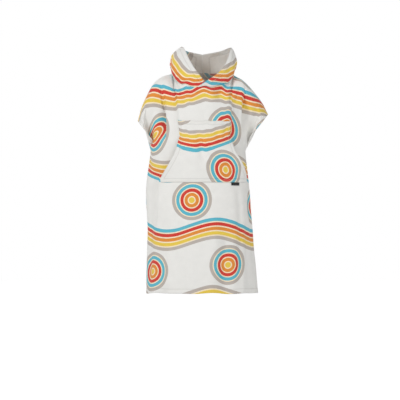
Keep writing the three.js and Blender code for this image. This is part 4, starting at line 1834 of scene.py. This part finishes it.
@dataclass
class HoodShell:
    """Half the hood, from the neck seam to the rim, w round the neck and t up the cloth."""

    half: HoodHalf
    name: str
    node: str
    around: float = 340
    lap_past: float = 0.09
    lap_width: float = 0.24
    lap_lift: float = 4.6
    lap_under: float = 0.6
    lift: float = 0.4
    hem: float = 20
    hem_raise: float = 0.7
    slack: float = 1.6
    slack_wave: float = 90
    slack_seed: int = 31
    edge_fade: float = 30
    front_fade: float = 60
    groove_fade: float = 10
    groove: float = 1.2
    groove_wide: float = 4
    print_u: float = 64
    print_v: float = 523

    # The rim's place at steps round the neck, and how the cloth leaves the neck seam and reaches the rim.
    TABLES = {
        HoodHalf.RIGHT: {
            "w": (0, 0.12, 0.24, 0.36, 0.5, 0.66, 0.82, 1),
            "x": (12, -15, -38, -61, -84, -98, -74, 0),
            "y": (-119, -113, -97, -68, -20, 52, 122, 158),
            "z": (-48, -14, 19, 61, 115, 130, 120, 108),
            "out": (3, 6, 24, 26, 24, 44, 74, 92),
            "up": (8, 10, -4, 16, 34, 10, -62, -104),
            "rim_out": (3, 6, 28, 52, 74, 74, 88, 100),
            "rim_up": (-7, -18, -24, -28, -22, -38, -92, -128),
        },
        HoodHalf.LEFT: {
            "w": (0, 0.12, 0.24, 0.36, 0.5, 0.66, 0.82, 1),
            "x": (-2, 36, 81, 112, 131, 126, 84, 0),
            "y": (-119, -117, -90, -56, -8, 60, 124, 158),
            "z": (-57, -31, 4, 54, 114, 128, 120, 108),
            "out": (2, 8, 22, 22, 28, 44, 74, 92),
            "up": (6, 8, -4, 16, 34, 10, -62, -104),
            "rim_out": (2, 6, 18, 26, 34, 50, 84, 100),
            "rim_up": (-5, -14, -24, -30, -34, -40, -92, -128),
        },
    }

    def neck_places(self, w: Array) -> tuple[Array, Array]:
        """Give the places along the front and the back neckline where this half is sewn on.

        Args:
            w: Places round the neck, 0 at the front and 1 at the back.

        Returns:
            Places on the front neckline, past the middle by the lap, and on the back neckline.
        """
        side = self.half.value
        share = 1 if side > 0 else -self.lap_under
        past = self.lap_past * share * ease(1 - w / self.lap_width)
        return side * np.minimum(w, 0.5) * 2 - past, side * (1 - np.maximum(w, 0.5)) * 2

    def base_out(self, w: Array) -> Array:
        """Give the level directions out at the neck seam, the same as the panels have there.

        Args:
            w: Places round the neck, 0 at the front and 1 at the back.

        Returns:
            Unit vectors, with a last axis of three.
        """
        front_t, back_t = self.neck_places(w)
        front, back = FORM.neck_out(Panel.FRONT, front_t), FORM.neck_out(Panel.BACK, back_t)
        return np.where((w < 0.5)[..., None], front, back)

    def smooth(self, w: Array, t: Array) -> Array:
        """Give the hood's half without creases.

        Args:
            w: Places round the neck, 0 at the front and 1 at the back.
            t: Places from the neck seam, 0, to the rim, 1.

        Returns:
            Points, with a last axis of three.
        """
        side = self.half.value
        table = self.TABLES[self.half]
        rows = {column: read(table, "w", column, w)[..., None] for column in table if column != "w"}
        front_t, back_t = self.neck_places(w)
        front, back = FORM.neckline(Panel.FRONT, front_t), FORM.neckline(Panel.BACK, back_t)
        base = np.where((w < 0.5)[..., None], front, back)
        base[..., 2] += self.lift
        away = np.stack((side * np.sin(math.pi * w), -np.cos(math.pi * w), np.zeros_like(w)), axis=-1)
        up = np.array((0.0, 0.0, 1.0))
        rim = np.concatenate((rows["x"], rows["y"], rows["z"]), axis=-1)
        leave = base + away * rows["out"] + up * rows["up"]
        reach = rim + away * rows["rim_out"] + up * rows["rim_up"]
        k = t[..., None]
        curve = base * (1 - k) ** 3 + 3 * leave * k * (1 - k) ** 2 + 3 * reach * k * k * (1 - k) + rim * k**3
        lap = self.lap_lift * ease(2 - w / (self.lap_width / 2)) if side > 0 else np.zeros_like(w)
        return curve + away * lap[..., None]

    def grid(self) -> ClothGrid:
        """Lay the half out as a grid, its cut measured along the cloth.

        Returns:
            The half's cloth grid.
        """
        columns = steps((0, 0.98, 0.0125), (0.98, 1, 0.005))
        rows = steps((0, 0.04, 0.01), (0.04, 1, 0.018))
        w, t = np.meshgrid(columns, rows)
        smooth = self.smooth(w, t)
        side = self.half.value
        out = grid_normals(smooth, side)
        climb = np.linalg.norm(np.diff(smooth, axis=0), axis=-1)
        height = np.concatenate((np.zeros((1, w.shape[1])), np.cumsum(climb, axis=0)))
        around = w * self.around
        rim = height[-1:] - height
        back_seam = (1 - w) * self.around
        free = ease(np.minimum(height, rim) / self.edge_fade)
        free = free * ease(back_seam / self.edge_fade) * ease(around / self.front_fade)
        sink = sum(crease.sink(around, height) for crease in HOOD_CREASES[self.half]) * free
        sink = sink - self.slack * ripple(around, height, self.slack_seed + side, self.slack_wave) * free
        groove = self.groove * np.exp(-((back_seam / self.groove_wide) ** 2))
        sink = sink + groove * ease(height / self.groove_fade)
        points = smooth - out * sink[..., None]
        turned = np.minimum(rim, np.where(w < 0.3, around + 6, FAR))
        points = points + out * (self.hem_raise * ease((self.hem + 3 - turned) / 3))[..., None]
        out = grid_normals(points, side)
        at_back = w > 1 - TINY
        points[..., 0] = np.where(at_back, side * SEAM / 2, points[..., 0])
        out[..., 0] = np.where(at_back, 0.0, out[..., 0])
        out[0] = self.base_out(w[0])
        out = unit(out)
        filled = np.ones((w.shape[0] - 1, w.shape[1] - 1), dtype=bool)
        free_edge = ((t > 1 - TINY) | (w < TINY)).astype(float) * (1 - at_back)
        cut = np.stack(((around - self.around) * side + self.print_u, height + self.print_v), axis=-1)
        return ClothGrid(points, out, cut, np.minimum(np.minimum(height, rim), back_seam), filled, free_edge)

    def stitch_lines(self, grid: ClothGrid) -> Lines:
        """Give the line that follows the rim, inside the turned edge.

        Args:
            grid: The half's cloth grid.

        Returns:
            Points and directions out of the line.
        """
        rim = grid.cut[-1:, :, 1] - grid.cut[..., 1]
        inset = np.minimum(self.hem - 2, rim[0] * 0.4)
        columns = np.arange(grid.points.shape[1])
        rows = np.array([np.interp(-inset[j], -rim[:, j], np.arange(len(rim))) for j in columns])
        low = np.floor(rows).astype(int)
        high = np.minimum(low + 1, len(rim) - 1)
        share = (rows - low)[:, None]
        points = mix(grid.points[low, columns], grid.points[high, columns], share)
        return [(points[1:-1], unit(mix(grid.out[low, columns], grid.out[high, columns], share))[1:-1])]

    def build(self, workroom: Workroom) -> None:
        """Args:
            workroom: What cloth pieces are made with.
        """
        grid = self.grid()
        lines = self.stitch_lines(grid)
        size = (self.around * MM, float(grid.cut[..., 1].max() - self.print_v) * MM)
        workroom.make(self.name, self.node, grid, lines, size, grid.worn_area())


@dataclass(frozen=True)
class Lamp:
    """A soft square lamp, with its place and side in metres and its power in watts."""

    name: str
    at: tuple[float, float, float]
    side: float
    power: float

    def hang(self) -> None:
        """Hang the lamp so that it looks at the poncho's middle."""
        data = bpy.data.lights.new(self.name, "AREA")
        data.size = self.side
        data.energy = self.power
        lamp = bpy.data.objects.new(self.name, data)
        lamp.location = self.at
        lamp.rotation_euler = (Vector((0, 0, -0.5)) - lamp.location).to_track_quat("-Z", "Y").to_euler()
        bpy.context.scene.collection.objects.link(lamp)


@dataclass(frozen=True)
class Studio:
    """A plain pale studio with soft light and a nearly level camera in front of the poncho."""

    frame_pixels: float = 400
    mm_per_pixel: float = 4.6
    centre_x: float = -11
    centre_z: float = -580
    distance: float = 6000
    camera_z: float = -640
    sensor: float = 36
    floor_z: float = -1430
    floor_half: float = 9000
    floor_glow: float = 0.64
    surround_light: float = 0.4
    lamps: tuple[Lamp, ...] = (
        Lamp("key_lamp", (-3.0, -3.0, 1.9), 1.1, 87),
        Lamp("fill_lamp", (2.6, -3.4, 0.4), 2.4, 44),
        Lamp("back_lamp", (-1.0, 3.4, 1.8), 2.4, 60),
    )

    def camera(self) -> None:
        """Create the camera at the photograph's viewing angle."""
        data = bpy.data.cameras.new("studio_camera")
        seen = self.frame_pixels * self.mm_per_pixel
        data.sensor_width = self.sensor
        data.lens = self.sensor * self.distance / seen
        data.clip_end = 100
        camera = bpy.data.objects.new("studio_camera", data)
        camera.location = Vector((self.centre_x, -self.distance, self.camera_z)) * MM
        aim = Vector((self.centre_x, 0, self.centre_z)) * MM - camera.location
        camera.rotation_euler = aim.to_track_quat("-Z", "Y").to_euler()
        bpy.context.scene.collection.objects.link(camera)
        bpy.context.scene.camera = camera

    def floor(self) -> None:
        """Lay the pale floor."""
        size = self.floor_half * MM
        mesh = bpy.data.meshes.new("studio_floor")
        turns = ((-size, -size), (size, -size), (size, size), (-size, size))
        mesh.from_pydata([(x, y, self.floor_z * MM) for x, y in turns], [], [(0, 1, 2, 3)])
        material = bpy.data.materials.new("pale_floor")
        material.use_nodes = True
        s = NodeSketch(material.node_tree)
        shader = material.node_tree.nodes["Principled BSDF"]
        shader.inputs["Base Color"].default_value = (0.9, 0.9, 0.9, 1)
        shader.inputs["Roughness"].default_value = 0.9
        shader.inputs["Emission Strength"].default_value = 1.0
        seen = s.node("ShaderNodeLightPath").outputs["Is Camera Ray"]
        glow = s.node("ShaderNodeCombineColor")
        for channel in glow.inputs[:3]:
            s.feed(channel, s.calc("MULTIPLY", seen, self.floor_glow))
        s.feed(shader.inputs["Emission Color"], glow.outputs[0])
        place_object("studio_floor", mesh, material)

    def light(self) -> None:
        """Set the soft lamps, and pale surroundings that look white to the camera."""
        for lamp in self.lamps:
            lamp.hang()
        world = bpy.data.worlds.new("studio_white")
        world.use_nodes = True
        s = NodeSketch(world.node_tree)
        surround = world.node_tree.nodes["Background"]
        seen = s.node("ShaderNodeLightPath").outputs["Is Camera Ray"]
        extra = s.calc("MULTIPLY", seen, 1 - self.surround_light)
        s.feed(surround.inputs["Strength"], s.calc("ADD", self.surround_light, extra))
        surround.inputs["Color"].default_value = (1.0, 1.0, 1.0, 1)
        bpy.context.scene.world = world
        bpy.context.scene.view_settings.view_transform = "Standard"

    def build(self) -> None:
        """Make camera, floor and light."""
        self.camera()
        self.floor()
        self.light()
        log.info("studio ready")


def main() -> None:
    """Build the studio and every piece of the poncho in order."""
    logging.basicConfig(level=logging.INFO, format="%(name)s: %(message)s")
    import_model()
    Studio().build()
    groups = {
        "ribbon_print": RibbonPrint().group(),
        "towelling_nap_and_shade": TowellingNapAndShade().group(),
        "seam_pucker_and_shade": SeamPuckerAndShade().group(),
    }
    cloth = TowellingFinish("printed_towelling", shift=91).material(groups)
    inside = TowellingFinish("towelling_inside", fade=0.35, shift=91).material(groups)
    pocket_cloth = TowellingFinish("pocket_towelling", shift=-44, stitch_line=16).material(groups)
    stitches = StitchRows(material=ThreadFinish().material())
    workroom = Workroom(cloth, inside, stitches)
    BodyPanel(Panel.FRONT, "printed_front", "front", FRONT_CREASES, FRONT_GATHERS, 84).build(workroom)
    BodyPanel(Panel.BACK, "printed_back", "back", BACK_CREASES, BACK_GATHERS, -60).build(workroom)
    HoodShell(HoodHalf.RIGHT, "printed_hood_right", "hood_right_half").build(workroom)
    HoodShell(HoodHalf.LEFT, "printed_hood_left", "hood_left_half").build(workroom)
    KangarooPocket().build(Workroom(pocket_cloth, inside, stitches))
    LabelTab().build(TapeFinish().material())


if __name__ == "__main__":
    main()
